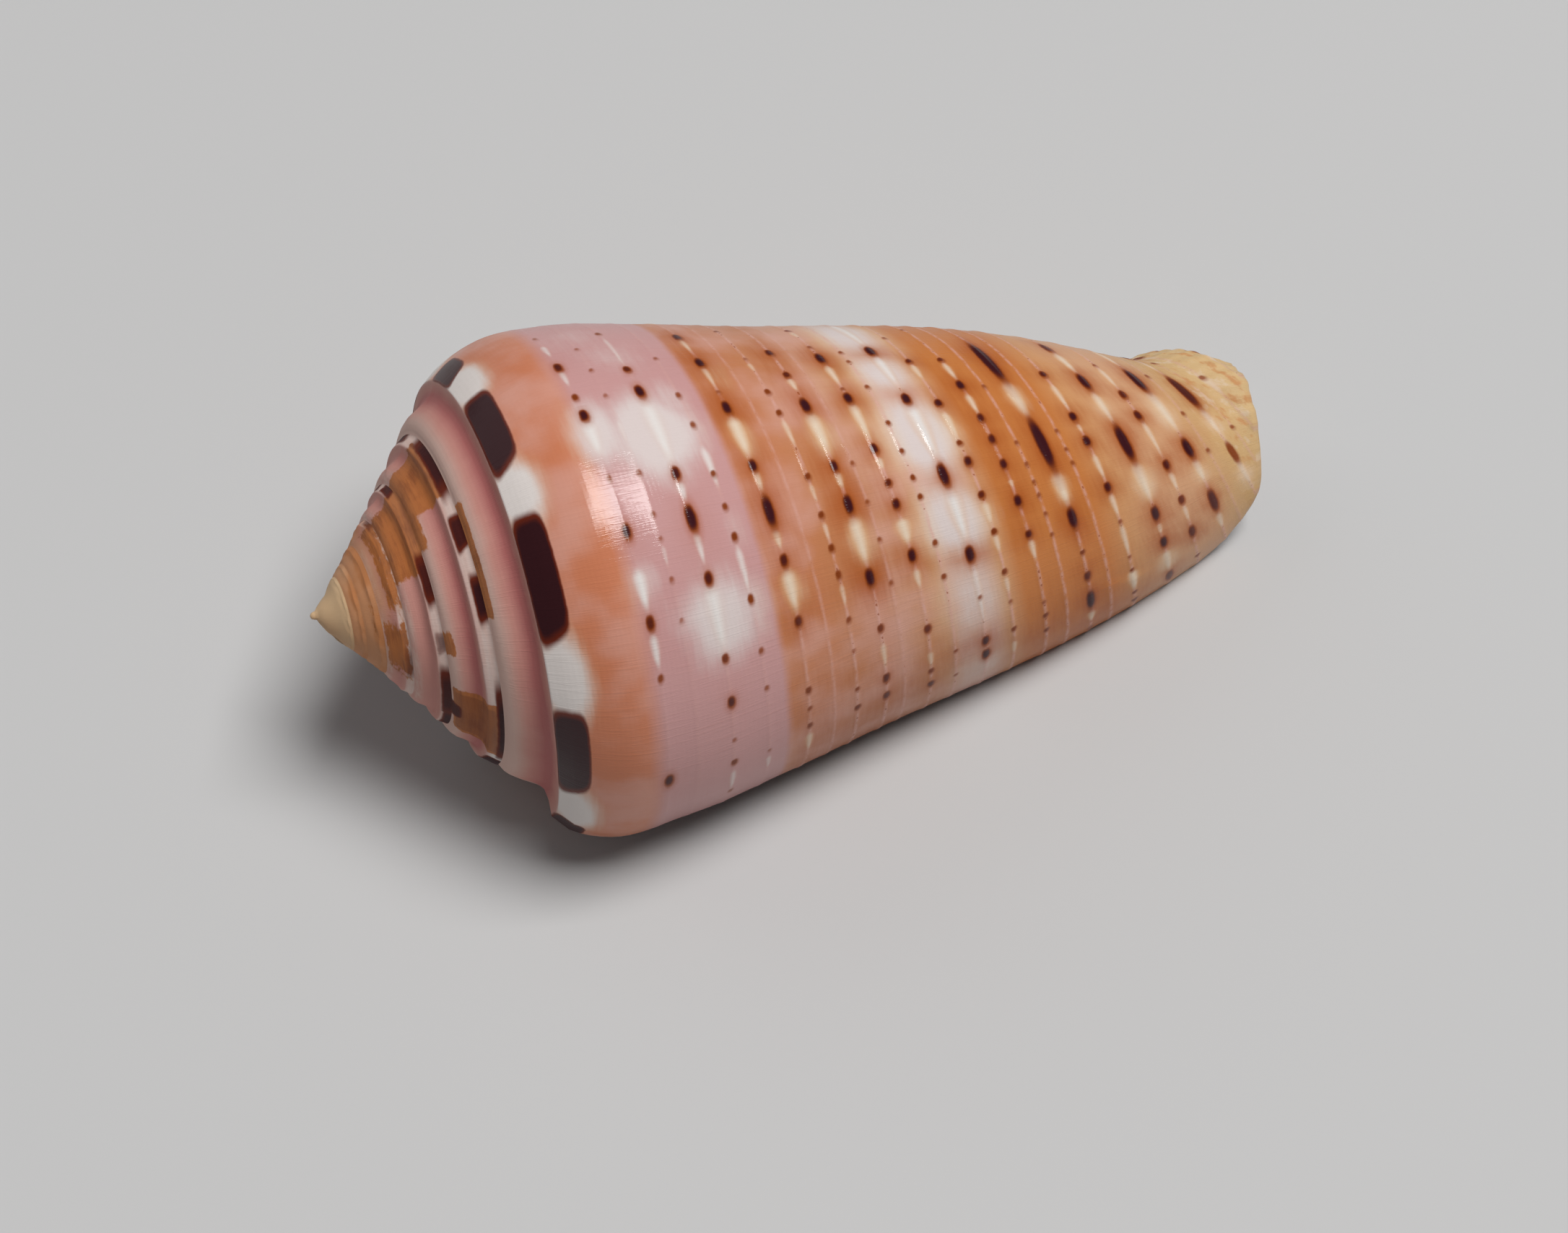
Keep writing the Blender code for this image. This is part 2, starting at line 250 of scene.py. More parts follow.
# Dark blotches of the shoulder and of the spire's bands: round from and to, place from and to, darkness.
# Earlier whorls lie 360 degrees further back each time
blotches = [
    (10, 25, 11.97, 13.9, 0.9), (40, 65.5, 11.97, 13.95, 1.0), (79, 109, 11.95, 13.95, 1.0),
    (128, 155.5, 11.9, 13.95, 1.0), (171.5, 185, 11.95, 13.9, 1.0),
    (-335, -302, 12.35, 13.4, 0.8), (-292, -280, 12.2, 13.4, 0.7), (-270, -255, 12.45, 13.4, 0.9),
    (-230, -191, 12.7, 13.6, 0.9),
    (-645, -623, 12.2, 13.4, 0.6), (-608, -599, 12.3, 13.4, 0.35), (-589, -557, 12.15, 13.4, 0.7),
    (-212, -202, 7.4, 8.85, 0.6), (-952, -931, 12.2, 13.4, 0.3),
]

# Orange-brown stains of the spire: round from, round to, place from, place to, softness in mm, strength
stains = [
    (-338, -302, 7.3, 12.5, 0.35, 1.0), (-303, -286, 7.3, 8.8, 0.35, 1.0),
    (65, 104, 7.3, 8.45, 0.15, 1.0), (-250, -239, 7.3, 9.0, 0.25, 0.9),
    (-222, -192, 8.0, 12.9, 0.3, 1.4), (-692, -637, 7.3, 13.3, 0.4, 1.0),
    (-1060, -980, 10.0, 13.3, 0.6, 0.7), (-970, -930, 8.2, 12.9, 0.7, 0.9),
    (-1350, -1315, 10.4, 12.2, 0.8, 0.5), (-1295, -1280, 10.4, 12.6, 0.8, 0.5),
]

# White clouds: round, place, half length in degrees, half width in mm, strength
clouds = [
    (32.5, 12.9, 8.0, 1.25, 1.3), (73, 12.9, 7.5, 1.35, 1.3), (119, 12.9, 10.0, 1.3, 1.3),
    (163.5, 12.9, 9.0, 1.3, 1.2),
    (65, 19.4, 8.5, 1.7, 0.9), (67, 23.3, 10.0, 2.8, 1.2), (60, 25.3, 7.0, 1.6, 0.6),
    (100, 19.2, 6.0, 1.3, 0.5), (111, 23.9, 9.5, 2.6, 0.95), (110, 26.4, 8.0, 1.4, 0.6),
    (41, 23.0, 9.0, 2.5, 0.35), (30, 21.5, 9.0, 3.5, 0.3), (92, 26.6, 7.0, 1.0, 0.35),
    (50, 30.3, 8.0, 1.2, 0.3), (128, 40.9, 12.0, 2.0, 0.4), (55, 37.6, 9.0, 1.4, 0.3),
    (71, 29.5, 6.0, 0.9, 0.42), (110, 29.5, 5.5, 0.9, 0.42),
    (72.5, 35.3, 6.5, 1.1, 0.5), (102.5, 35.3, 6.5, 1.1, 0.5),
    (30, 42.3, 13.0, 2.3, 0.9), (53.5, 42.4, 8.0, 2.2, 0.8), (77, 42.4, 11.0, 2.4, 1.1),
    (103, 42.4, 9.5, 2.4, 1.0), (127, 42.4, 13.0, 2.2, 0.6), (160, 42.4, 12.0, 2.2, 0.5),
    (103, 38.7, 6.0, 1.1, 0.35), (70, 38.7, 7.0, 1.1, 0.3),
    (109, 57.8, 8.0, 1.0, 0.55), (76, 57.8, 7.0, 1.0, 0.4), (81, 62.6, 12.0, 1.1, 0.6),
    (69.5, 51.3, 7.0, 0.9, 0.4), (103, 51.3, 6.0, 0.9, 0.4), (116, 62.6, 6.0, 1.0, 0.45),
    (150, 57.8, 7.0, 1.0, 0.5), (92, 66.0, 9.0, 1.0, 0.5), (128, 66.0, 9.0, 1.0, 0.5),
]

# The far side of the last whorl follows the same rules with marks drawn by lot
farSide = {
    "seed": 7,
    "from": -182.0,
    "to": 8.0,
    "gapDegrees": (9.0, 21.0),
    "toneSpread": 0.22,
    "dashDegrees": (3, 12),
    "longRows": (51.30, 62.65, 66.00),   # these rows, and those past longFrom, have longer marks
    "longFrom": 70,
    "longTimes": 3.0,
    "blotchFrom": 4.0,
    "blotchDegrees": (15.0, 31.0),
    "blotchGapDegrees": (12.0, 17.0),
    "oldBlotches": ((-350.0, 0.85), (-690.0, 0.6), (-1050.0, 0.35)),   # round, darkness
    "oldBlotchTurn": 185.0,
    "cloudRows": (                       # place, half width in mm, strength, spacing in degrees
        (23.5, 2.6, 1.1, 40), (42.4, 2.3, 1.0, 26), (29.4, 1.0, 0.45, 38),
        (35.2, 1.2, 0.5, 36), (57.8, 1.0, 0.5, 34), (62.6, 1.1, 0.5, 36)),
}

# Sizes of the marks: half widths in mm grow with a mark's darkness and length
markSize = {
    "leastHalfLength": 0.15,
    "darkHalfWidth": 0.05,
    "darkByTone": 0.2,
    "darkByLength": 0.06,
    "paleHalfWidth": 0.11,
    "paleByStrength": 0.27,
}

rng = np.random.default_rng(farSide["seed"])


def smoothCurve(points, at):
    # Cubic through the points, each slope taken between its neighbours
    known = np.array(points, float)
    x, y = known[:, 0], known[:, 1]
    slope = np.gradient(y, x)
    at = np.clip(at, x[0], x[-1])
    k = np.clip(np.searchsorted(x, at, side="right") - 1, 0, len(x) - 2)
    span = x[k + 1] - x[k]
    t = (at - x[k]) / span
    bend = t * t * (3 - 2 * t)
    lead = t * (1 - t) ** 2 * span * slope[k]
    trail = t * t * (1 - t) * span * slope[k + 1]
    return y[k] * (1 - bend) + y[k + 1] * bend + lead - trail


def easeStep(t):
    # 0 below 0, 1 above 1, and 3 t^2 - 2 t^3 between
    t = np.clip(t, 0.0, 1.0)
    return t * t * (3 - 2 * t)


def growthAt(turn):
    # size = growth ^ (turn / 360), so the lip is 1
    return shellForm["whorlGrowth"] ** (turn / 360.0)


def endAxial(turn):
    # The wall ends in a plane, rounded like a quarter ellipse at the lip's corner, shorter at the columella
    back = -turn
    near = np.clip(1 - back / shellForm["lipCornerTurn"], 0, 1)
    corner = shellForm["lipCornerDepth"] * (1 - np.sqrt(1 - shellForm["lipCornerBend"] * near ** 2))
    reach = shellForm["columellaTurn"] - shellForm["wallEndTurn"]
    fall = easeStep((back - shellForm["wallEndTurn"]) / reach)
    rim = shellForm["rimRise"] * (1 - fall)
    return shellForm["shellEnd"] - rim - corner - (shellForm["shellEnd"] - shellForm["columellaEnd"]) * fall


def outsideRadius(turn, axial):
    # radius = grown side outline, joined to the columella by a smooth maximum
    size = growthAt(turn)
    side = size * smoothCurve(shellForm["sideOutline"], axial / size)
    pillar = smoothCurve(shellForm["columellaOutline"], axial)
    blend = shellForm["columellaBlend"]
    share = np.clip(0.5 + 0.5 * (side - pillar) / blend, 0, 1)
    return pillar + (side - pillar) * share + blend * share * (1 - share)


def axisPoint(turn, axial, radius):
    # x = axial, y = -radius sin(a), z = radius cos(a), with a = turn + azimuth of the lip
    a = np.radians(turn + shellForm["lipAzimuth"])
    return np.stack([axial + 0 * a, -radius * np.sin(a), radius * np.cos(a)], axis=-1)


def softNoise(round_, place, count, roundScale, placeScale, seed):
    # Sum of a few slanted waves with random phases, between about -1 and 1
    lot = np.random.default_rng(seed)
    total = 0
    for _ in range(count):
        a, b = lot.normal(size=2)
        total = total + np.sin(round_ * a * roundScale + place * b * placeScale + lot.uniform(0, 6.28))
    return total / math.sqrt(count)


def lipFlare(round_):
    # How far the shoulder swells at this round
    share = easeStep((round_ - shellForm["flareRound"]) / shellForm["flareDegrees"])
    return shellForm["shoulderFlare"] * share


def sideRelief(round_, place):
    # Height over the smooth form: a low rounded rib on each row, a soft wave, the neck's grooves, the swollen
    # shoulder and the healed break near the lip
    height = 0 * place
    for rowPlace, rib, _, _ in sideRows:
        height = height + rib * np.exp(-((place - rowPlace) / relief["ribWidth"]) ** 2)
    height = height * (1 + relief["ribChange"] * softNoise(round_, place, 5, 0.12, 0.5, 3))
    height = height + relief["waveHeight"] * softNoise(round_, place, 6, 0.04, 0.2, 5)
    neck = easeStep((place - relief["neckStart"]) / relief["neckFade"])
    threads = np.sin(place * relief["neckThreadRate"] + 0.6 * softNoise(round_, place, 3, 0.04, 0.3, 9))
    height = height + neck * relief["neckThreadHeight"] * threads
    height = height + neck * relief["neckWaveHeight"] * softNoise(round_, place, 7, 0.35, 0.25, 13)
    height = height + lipFlare(round_) * easeStep((relief["flareEnd"] - place) / relief["flareFade"])
    line = relief["scarRound"] + relief["scarSlant"] * (place - 54.5)
    scar = np.exp(-((place - relief["scarPlace"]) / relief["scarHalfWidth"]) ** 4)
    fade = np.exp(-np.clip(round_ - line, 0, None) / relief["scarFade"])
    step = easeStep((round_ - line + 2.0) / 1.6) * fade
    return height + relief["scarHeight"] * scar * step


def rampRelief(round_, place, start):
    # Lift of the ramps over their outline: soft bumps, beads on old whorls, wrinkles, the hollow at the lip
    edge, join = shellForm["sideOutline"][0][0], shellForm["sutureAxial"]
    early = easeStep((-300.0 - round_) / 900.0)
    across = np.sin(np.pi * np.clip((place - start) / (join - start), 0, 1))
    share = np.clip((place - start) / (edge - start), 0, 1)
    worn = relief["flatShare"] * easeStep((relief["flatRound"] - round_) / relief["flatDegrees"])
    flat = worn * smoothCurve(shellForm["rampOutline"], share)
    bumps = relief["rampWaveHeight"] * softNoise(round_, place, 6, 0.09, 0.8, 11)
    lift = -flat + bumps * across * (0.3 + 0.7 * early)
    beads = np.sin(np.radians(round_ * relief["beadsPerWhorl"]) + 1.5 * np.sin(np.radians(round_ * 3.0)))
    onEdge = np.exp(-((place - relief["beadPlace"]) / relief["beadHalfWidth"]) ** 2)
    lift = lift + relief["beadHeight"] * early * onEdge * beads
    for at, width, height, low, high in wrinkles:
        reach = easeStep((place - low) / 0.7) * easeStep((high - place) / 0.7)
        lift = lift + height * np.exp(-((round_ - at - 2.0 * (place - 10.0)) / width) ** 2) * reach
    return lift - shellForm["lipHollow"] * across * easeStep((round_ - 118.0) / 55.0)


class ShellSheets:
    # Gathers the sheets of one closed surface. Info holds, for each corner: round, place, lining

    def __init__(self):
        self.points = []
        self.count = 0
        self.quads = []
        self.quadInfo = []
        self.tris = []
        self.triInfo = []

    def addPoints(self, grid):
        first = self.count
        flat = grid.reshape(-1, 3)
        self.points.append(flat)
        self.count += len(flat)
        return first + np.arange(len(flat)).reshape(grid.shape[:-1])

    def position(self, ids):
        return np.concatenate(self.points)[ids]

    def addTriangles(self, three, info):
        # Those whose corners have run together are dropped
        good = (three[:, 0] != three[:, 1]) & (three[:, 1] != three[:, 2]) & (three[:, 0] != three[:, 2])
        self.tris.append(three[good])
        self.triInfo.append(info[good])

    def addFaces(self, corners, info):
        # Quads with two corners run together become triangles
        a, b, c, d = corners.T
        left, right = a == b, c == d
        whole = ~left & ~right & (b != c) & (a != d)
        self.quads.append(corners[whole])
        self.quadInfo.append(info[whole])
        for pick, order in ((left & ~right, [0, 2, 3]), (right & ~left, [0, 1, 2]),
                            ((b == c) & ~left & ~right, [0, 1, 3]), ((a == d) & ~left & ~right, [0, 1, 2])):
            self.addTriangles(corners[pick][:, order], info[pick][:, order])

    def addSheet(self, ids, info):
        corners = np.stack([ids[:-1, :-1], ids[:-1, 1:], ids[1:, 1:], ids[1:, :-1]], -1).reshape(-1, 4)
        around = np.stack([info[:-1, :-1], info[:-1, 1:], info[1:, 1:], info[1:, :-1]], -2).reshape(-1, 4, 3)
        self.addFaces(corners, around)

    def addZip(self, idsA, infoA, alongA, idsB, infoB, alongB):
        # Triangles between two lines with different counts, taken in the order of their places along
        stepsA, stepsB = len(idsA) - 1, len(idsB) - 1
        keys = np.concatenate([alongA[:-1] + alongA[1:], alongB[:-1] + alongB[1:]])
        isA = np.argsort(keys, kind="stable") < stepsA
        i = np.minimum(np.cumsum(isA) - isA, stepsA)
        j = np.minimum(np.cumsum(~isA) - ~isA, stepsB)
        nextA, nextB = np.minimum(i + 1, stepsA), np.minimum(j + 1, stepsB)
        third = np.where(isA, idsA[nextA], idsB[nextB])
        thirdInfo = np.where(isA[:, None], infoA[nextA], infoB[nextB])
        around = np.stack([infoA[i], thirdInfo, infoB[j]], 1)
        self.addTriangles(np.stack([idsA[i], third, idsB[j]], -1), around)

    def addFan(self, centre, centreInfo, ids, info):
        n = len(ids) - 1
        around = np.stack([np.broadcast_to(centreInfo, (n, 3)), info[:-1], info[1:]], 1)
        self.addTriangles(np.stack([np.full(n, centre), ids[:-1], ids[1:]], -1), around)


def infoGrid(round_, place, lining=0.0):
    return np.stack(np.broadcast_arrays(round_, place, lining), -1).astype(float)


def rampProfile(place):
    # From the suture (place 12 less the ramp's length) out to the shoulder edge at 12, then down the side
    outer = np.array(shellForm["sideOutline"][0])
    suture = shellForm["sutureAxial"]
    join = np.array([suture, smoothCurve(shellForm["sideOutline"], suture)])
    inner = join / shellForm["whorlGrowth"]
    along = outer - inner
    length = np.hypot(*along)
    lift = np.array([-along[1], along[0]]) / length
    share = np.clip(1 - (outer[0] - place) / length, 0, 1)
    rise = smoothCurve(shellForm["rampOutline"], share)
    axial = inner[0] + share * along[0] + rise * lift[0]
    radius = inner[1] + share * along[1] + rise * lift[1]
    onSide = place > outer[0]
    axial = np.where(onSide, place, axial)
    radius = np.where(onSide, smoothCurve(shellForm["sideOutline"], np.maximum(place, outer[0])), radius)
    return axial, radius, length


def rowPlaces():
    # Rows of the side: even at first, then close together over each rib, then wide apart on the far end
    start = np.linspace(shellForm["sutureAxial"], shellMesh["coreStartPlace"], shellMesh["coreStartRow"] + 1)
    gap = shellMesh["rowGap"]
    rows = list(start) + list(np.arange(start[-1] + gap, shellMesh["ribStart"], gap))
    for place, _, _, _ in sideRows:
        first = place + shellMesh["ribOffsets"][0]
        gap = first - rows[-1]
        fill = max(int(round(gap / shellMesh["rowGap"])), 1)
        rows += list(rows[-1] + gap * np.arange(1, fill) / fill)
        rows += [place + step for step in shellMesh["ribOffsets"]]
    rows += list(np.linspace(rows[-1], shellMesh["farPlace"], shellMesh["farRows"] + 1)[1:])
    return np.array(rows)


def wallThickness(turn):
    thin, full = shellForm["lipThickness"], shellForm["wallThickness"]
    return thin + (full - thin) * easeStep(-turn / shellForm["lipTaperTurn"])


def ceilingCurve(turn, share):
    # Bend of the cavity's ceiling: a quadratic curve from the earlier whorl to the inside of the wall
    size = growthAt(turn)
    earlier = growthAt(turn - 360.0)
    coreAxial = earlier * shellMesh["coreStartPlace"]
    coreRadius = outsideRadius(turn - 360.0, coreAxial)
    wallAxial = size * shellForm["ceilingEnd"]
    wallRadius = outsideRadius(turn, wallAxial) - wallThickness(turn)
    midAxial, midRadius = (size * value for value in shellForm["ceilingMiddle"])
    a, b, c = (1 - share) ** 2, 2 * share * (1 - share), share ** 2
    return a * coreAxial + b * midAxial + c * wallAxial, a * coreRadius + b * midRadius + c * wallRadius


def roundedLines(outer, inner, forwardHint, depth):
    # Three lines on a half ellipse between the outer and the inner line, bulging forward by depth
    middle, half = (outer + inner) / 2, (outer - inner) / 2
    tangent = np.gradient(middle, axis=0)
    forward = np.cross(tangent, half)
    forward /= np.maximum(np.linalg.norm(forward, axis=1, keepdims=True), 1e-9)
    centre = len(outer) // 3
    forward *= np.sign(forward[centre] @ forwardHint)
    reach = np.minimum(np.linalg.norm(half, axis=1, keepdims=True), 1.0) * depth
    return [middle + half * math.cos(a) + forward * reach * math.sin(a)
            for a in (math.pi / 4, math.pi / 2, 3 * math.pi / 4)]


def evenRing(points, rounds):
    # Evens out a closed ring: each point moves towards its neighbours' mean, again and again
    loop = points[:-1]
    for _ in range(rounds):
        loop = (np.roll(loop, 1, axis=0) + np.roll(loop, -1, axis=0)) / 4 + loop / 2
    return np.concatenate([loop, loop[:1]])


class ShellSurface(ShellSheets):
    # The shell's outside, cavity, rim and ends, each joined to the sheets before it

    def __init__(self):
        super().__init__()
        self.whorl = shellMesh["stepsPerWhorl"]
        self.step = 360.0 / self.whorl
        self.addRamps()
        self.addSide()
        self.addCavity()
        self.addRim()
        self.addDeepEnd()
        self.addColumellaTip()
        self.addApex()

    def addRamps(self):
        # Ramps of all whorls. Place 12 is the shoulder edge; each outer line is the next whorl's suture
        turn = self.step * np.arange(-shellMesh["spireWhorls"] * self.whorl, 1)
        edge = shellForm["sideOutline"][0][0]
        length = rampProfile(np.array([edge]))[2]
        shares = np.array(shellMesh["rampShares"])
        place = np.concatenate([edge - length * (1 - shares), shellMesh["bandPlaces"]])
        axial, radius, _ = rampProfile(place)
        size = growthAt(turn)[:, None]
        roundGrid = turn[:, None] + 180.0 + 0 * place
        placeGrid = place[None, :] + 0 * turn[:, None]
        lift = rampRelief(roundGrid, placeGrid, place[0])
        swell = lipFlare(roundGrid) * easeStep((placeGrid - 11.0) / 1.0)
        up, out = shellForm["rampLift"]
        grid = axisPoint(turn[:, None], size * (axial - up * lift), size * (radius + out * lift + swell))
        self.ramp = self.addPoints(grid)
        self.ramp[:-self.whorl, -1] = self.ramp[self.whorl:, 0]
        self.rampPlace = place
        self.rampInfo = infoGrid(roundGrid, placeGrid)
        self.addSheet(self.ramp, self.rampInfo)

    def addSide(self):
        # Side of the last whorl, with its rows at fixed places until they reach the anterior end
        turn = self.step * np.arange(-self.whorl, 1)
        rows = rowPlaces()
        size, end = growthAt(turn)[:, None], endAxial(turn)[:, None]
        axial = np.minimum(size * rows[None, :], end)
        axial = np.where(axial > end - shellMesh["endSnap"], end, axial)
        place = axial / size
        round_ = turn[:, None] + 180.0 + 0 * place
        radius = outsideRadius(turn[:, None], axial) + size * sideRelief(round_, place)
        ids = self.addPoints(axisPoint(turn[:, None], axial, radius))
        firstEnd = np.argmax(axial >= end, axis=1)
        ids = np.minimum(ids, ids[np.arange(len(turn)), firstEnd][:, None])
        ids[:, 0] = self.ramp[-self.whorl - 1:, -1]
        self.sideTurn, self.side, self.sideAxial = turn, ids, axial
        self.sideInfo = infoGrid(round_, place)
        self.addSheet(ids, self.sideInfo)
        print("outside:", len(rows), "rows")

    def addCavity(self):
        # One coarser sheet from the wall's inside over the ceiling and down the earlier whorl
        turn = np.linspace(-shellForm["cavityStart"], -shellForm["wallEndTurn"], shellMesh["cavitySteps"])
        share = np.linspace(1, 0, shellMesh["wallRows"])[None, :]
        top = growthAt(turn)[:, None] * shellForm["ceilingEnd"]
        low = endAxial(turn)[:, None] - shellForm["cavityLipGap"]
        self.wallAxial = top + (low - top) * share
        wallRadius = outsideRadius(turn[:, None], self.wallAxial) - wallThickness(turn)[:, None]
        self.roofShare = np.linspace(1, 0, shellMesh["ceilingPoints"] + 2)[None, 1:-1]
        roofAxial, roofRadius = ceilingCurve(turn[:, None], self.roofShare)
        share = np.linspace(0, 1, shellMesh["wallRows"] + 1)[None, :]
        coreSize = growthAt(turn - 360.0)[:, None]
        coreTop = coreSize * shellMesh["coreStartPlace"]
        coreAxial = coreTop + (endAxial(turn - 360.0)[:, None] - coreTop) * share
        coreRadius = outsideRadius(turn[:, None] - 360.0, coreAxial)
        axial = np.concatenate([self.wallAxial, roofAxial, coreAxial], axis=1)
        radius = np.concatenate([wallRadius, roofRadius, coreRadius], axis=1)
        self.cavityTurn = turn
        self.cavity = self.addPoints(axisPoint(turn[:, None], axial, radius))
        self.coreFirst = shellMesh["wallRows"] + shellMesh["ceilingPoints"]
        # On the earlier whorl the info follows that whorl, and the lining comes in over 12 degrees
        info = infoGrid(turn[:, None] + 180.0, axial, 1.0)
        info[:, self.coreFirst:, 0] -= 360.0
        info[:, self.coreFirst:, 1] /= coreSize
        info[:, self.coreFirst:, 2] = 0.35 + 0.65 * easeStep((-turn[:, None]) / 12.0)
        self.cavityInfo = info
        self.addSheet(self.cavity, info)
        # Seam between the outside and the earlier whorl inside the cavity
        row = shellMesh["coreStartRow"]
        self.addZip(self.side[0, row:], self.sideInfo[0, row:], self.sideAxial[0, row:],
                    self.cavity[0, self.coreFirst:], info[0, self.coreFirst:], coreAxial[0])

    def addRim(self):
        # Rounded rim: down the lip from the suture, round its corner, and back along the anterior end
        half = self.whorl // 2
        lipCount = int(np.argmax(self.sideAxial[-1] >= endAxial(0.0))) + 1
        outerIds, outerInfo = (
            np.concatenate([ramp[-1, :-1], side[-1, :lipCount], side[-2:half - 1:-1, -1]])
            for ramp, side in ((self.ramp, self.side), (self.rampInfo, self.sideInfo)))
        first, join = self.rampPlace[0], shellForm["ceilingEnd"]
        lipPlace = np.concatenate([self.rampPlace[:-1], self.sideAxial[-1, :lipCount]])
        roof = np.clip((lipPlace - first) / (join - first), 0, 1)
        roofAxial, roofRadius = ceilingCurve(0.0, roof)
        wallRadius = outsideRadius(0.0, lipPlace) - shellForm["lipThickness"]
        onWall = lipPlace > join
        lipAxial, lipRadius = np.where(onWall, lipPlace, roofAxial), np.where(onWall, wallRadius, roofRadius)
        rimTurn = self.sideTurn[-2:half - 1:-1]
        rimAxial = endAxial(rimTurn)
        rimRadius = outsideRadius(rimTurn, rimAxial) - wallThickness(rimTurn)
        innerLine = np.concatenate([axisPoint(0.0 * lipPlace, lipAxial, lipRadius),
                                    axisPoint(rimTurn, rimAxial, rimRadius)])
        ahead, here = (axisPoint(np.array([turn]), 0.0, 10.0)[0] for turn in (1.0, 0.0))
        self.forward = ahead - here
        self.lines, self.lineInfo = [outerIds], [outerInfo]
        outerLine = self.position(outerIds)
        for k, points in enumerate(roundedLines(outerLine, innerLine, self.forward, shellForm["rimDepth"])):
            ids = self.addPoints(points)
            ids[0] = self.side[0, k + 1]
            self.lines.append(ids)
            self.lineInfo.append(outerInfo * [1, 1, 0] + [0, 0, 0.25 * (k + 1)])
        innerIds = self.addPoints(innerLine)
        innerIds[0] = self.side[0, shellMesh["coreStartRow"]]
        self.lines.append(innerIds)
        self.lineInfo.append(outerInfo * [1, 1, 0] + [0, 0, 1.0])
        self.addSheet(np.array(self.lines), np.array(self.lineInfo))
        # The rim's inner line meets the cavity's first line: 0 to 1 on the roof, to 2 on the wall, then on
        lipAlong = np.where(onWall, 1 + (lipPlace - join) / (lipPlace[-1] - join), roof)
        fineAlong = np.concatenate([lipAlong, 2 - rimTurn / 180.0])
        coarseIds, coarseInfo = (
            np.concatenate([grid[0, self.coreFirst::-1], grid[1:, 0]])
            for grid in (self.cavity, self.cavityInfo))
        coarseInfo[0, 2] = 1.0
        wall = self.wallAxial[0]
        wallAlong = 1 + (wall[::-1] - wall.min()) / np.ptp(wall)
        coarseAlong = np.concatenate([
            [0.0], self.roofShare[0, ::-1], wallAlong, 2 - self.cavityTurn[1:] / 180.0])
        self.addZip(innerIds, self.lineInfo[-1], fineAlong, coarseIds, coarseInfo, coarseAlong)

    def addDeepEnd(self):
        # Deep end of the cavity, rounded away from the lip
        middle = shellMesh["wallRows"] + shellMesh["ceilingPoints"] // 2
        wallSide = np.concatenate([[self.lines[-1][-1]], self.cavity[-1, :middle]])
        coreSide = self.cavity[-1, :middle - 1:-1]
        info = np.concatenate([self.cavityInfo[-1, :1], self.cavityInfo[-1, :middle]])
        outer, inner = self.position(wallSide), self.position(coreSide)
        rounded = roundedLines(outer, inner, -self.forward, shellForm["deepEndDepth"])
        self.deep = [wallSide] + [self.addPoints(points) for points in rounded] + [coreSide]
        self.deepInfo = info
        self.addSheet(np.array(self.deep), np.array([info] * len(self.deep)))
        closing = np.array([line[-1] for line in self.deep])
        self.addFan(closing[0], info[-1], closing[1:], np.array([info[-1]] * (len(closing) - 1)))

    def addColumellaTip(self):
        # Anterior end of the columella: rings that shrink to the tip and get more even
        half = self.whorl // 2
        ring = np.concatenate([
            self.side[:half + 1, -1], [line[-1] for line in self.lines[1:]],
            [line[0] for line in self.deep[1:-1]], self.cavity[::-1, -1], [self.side[0, -1]]])
        ringInfo = np.concatenate([
            self.sideInfo[:half + 1, -1], [info[-1] for info in self.lineInfo[1:]],
            [self.deepInfo[0]] * (len(self.deep) - 2), self.cavityInfo[::-1, -1], [self.sideInfo[0, -1]]])
        ringInfo[:, 2] = np.maximum(ringInfo[:, 2], 0.5)
        tip = np.array([shellForm["columellaTip"], 0.0, 0.0])
        rim = self.position(ring)
        rings, ringsInfo = [ring], [ringInfo]
        for share in shellMesh["tipShares"]:
            points = rim + (tip - rim) * share
            points[:, 0] = rim[:, 0] + (tip[0] - rim[:, 0]) * math.sin(share * math.pi / 2)
            ids = self.addPoints(evenRing(points, int(share * shellMesh["tipEvening"])))
            ids[-1] = ids[0]
            rings.append(ids)
            ringsInfo.append(ringInfo * [1, 1, 0] + [0, 0, 1.0])
        self.closeRings(rings, ringsInfo, tip, ringsInfo[-1][0])

    def addApex(self):
        # Rings that turn the first whorl into a small round knob
        ring = np.concatenate([self.ramp[:self.whorl + 1, 0], self.ramp[0, -2::-1]])
        ringInfo = np.concatenate([self.rampInfo[:self.whorl + 1, 0], self.rampInfo[0, -2::-1]])
        ringInfo[:, 1] = self.rampPlace[0]
        rim = self.position(ring)
        rimRadius = np.hypot(rim[:, 1], rim[:, 2])
        rings = [ring]
        for radius, axial, even in shellForm["apexRings"]:
            target = (rimRadius * (1 - even) * radius / rimRadius.mean() + radius * even) / rimRadius
            points = rim * target[:, None]
            points[:, 0] = rim[:, 0] * (1 - even) * 0.75 + axial * (1 - 0.75 * (1 - even))
            ids = self.addPoints(points)
            # The step between the first whorl's two ends closes to one point
            ids[(self.whorl if even > shellForm["apexEven"] else -1):] = ids[0]
            rings.append(ids)
        rings[0][-1] = rings[0][0]
        tip = np.array([shellForm["apexAxial"], 0.0, 0.0])
        self.closeRings(rings, [ringInfo] * len(rings), tip, ringInfo[0])

    def closeRings(self, rings, ringsInfo, tip, tipInfo):
        self.addSheet(np.array(rings), np.array(ringsInfo))
        centre = self.addPoints(tip[None, :])[0]
        self.addFan(centre, tipInfo, rings[-1], ringsInfo[-1])


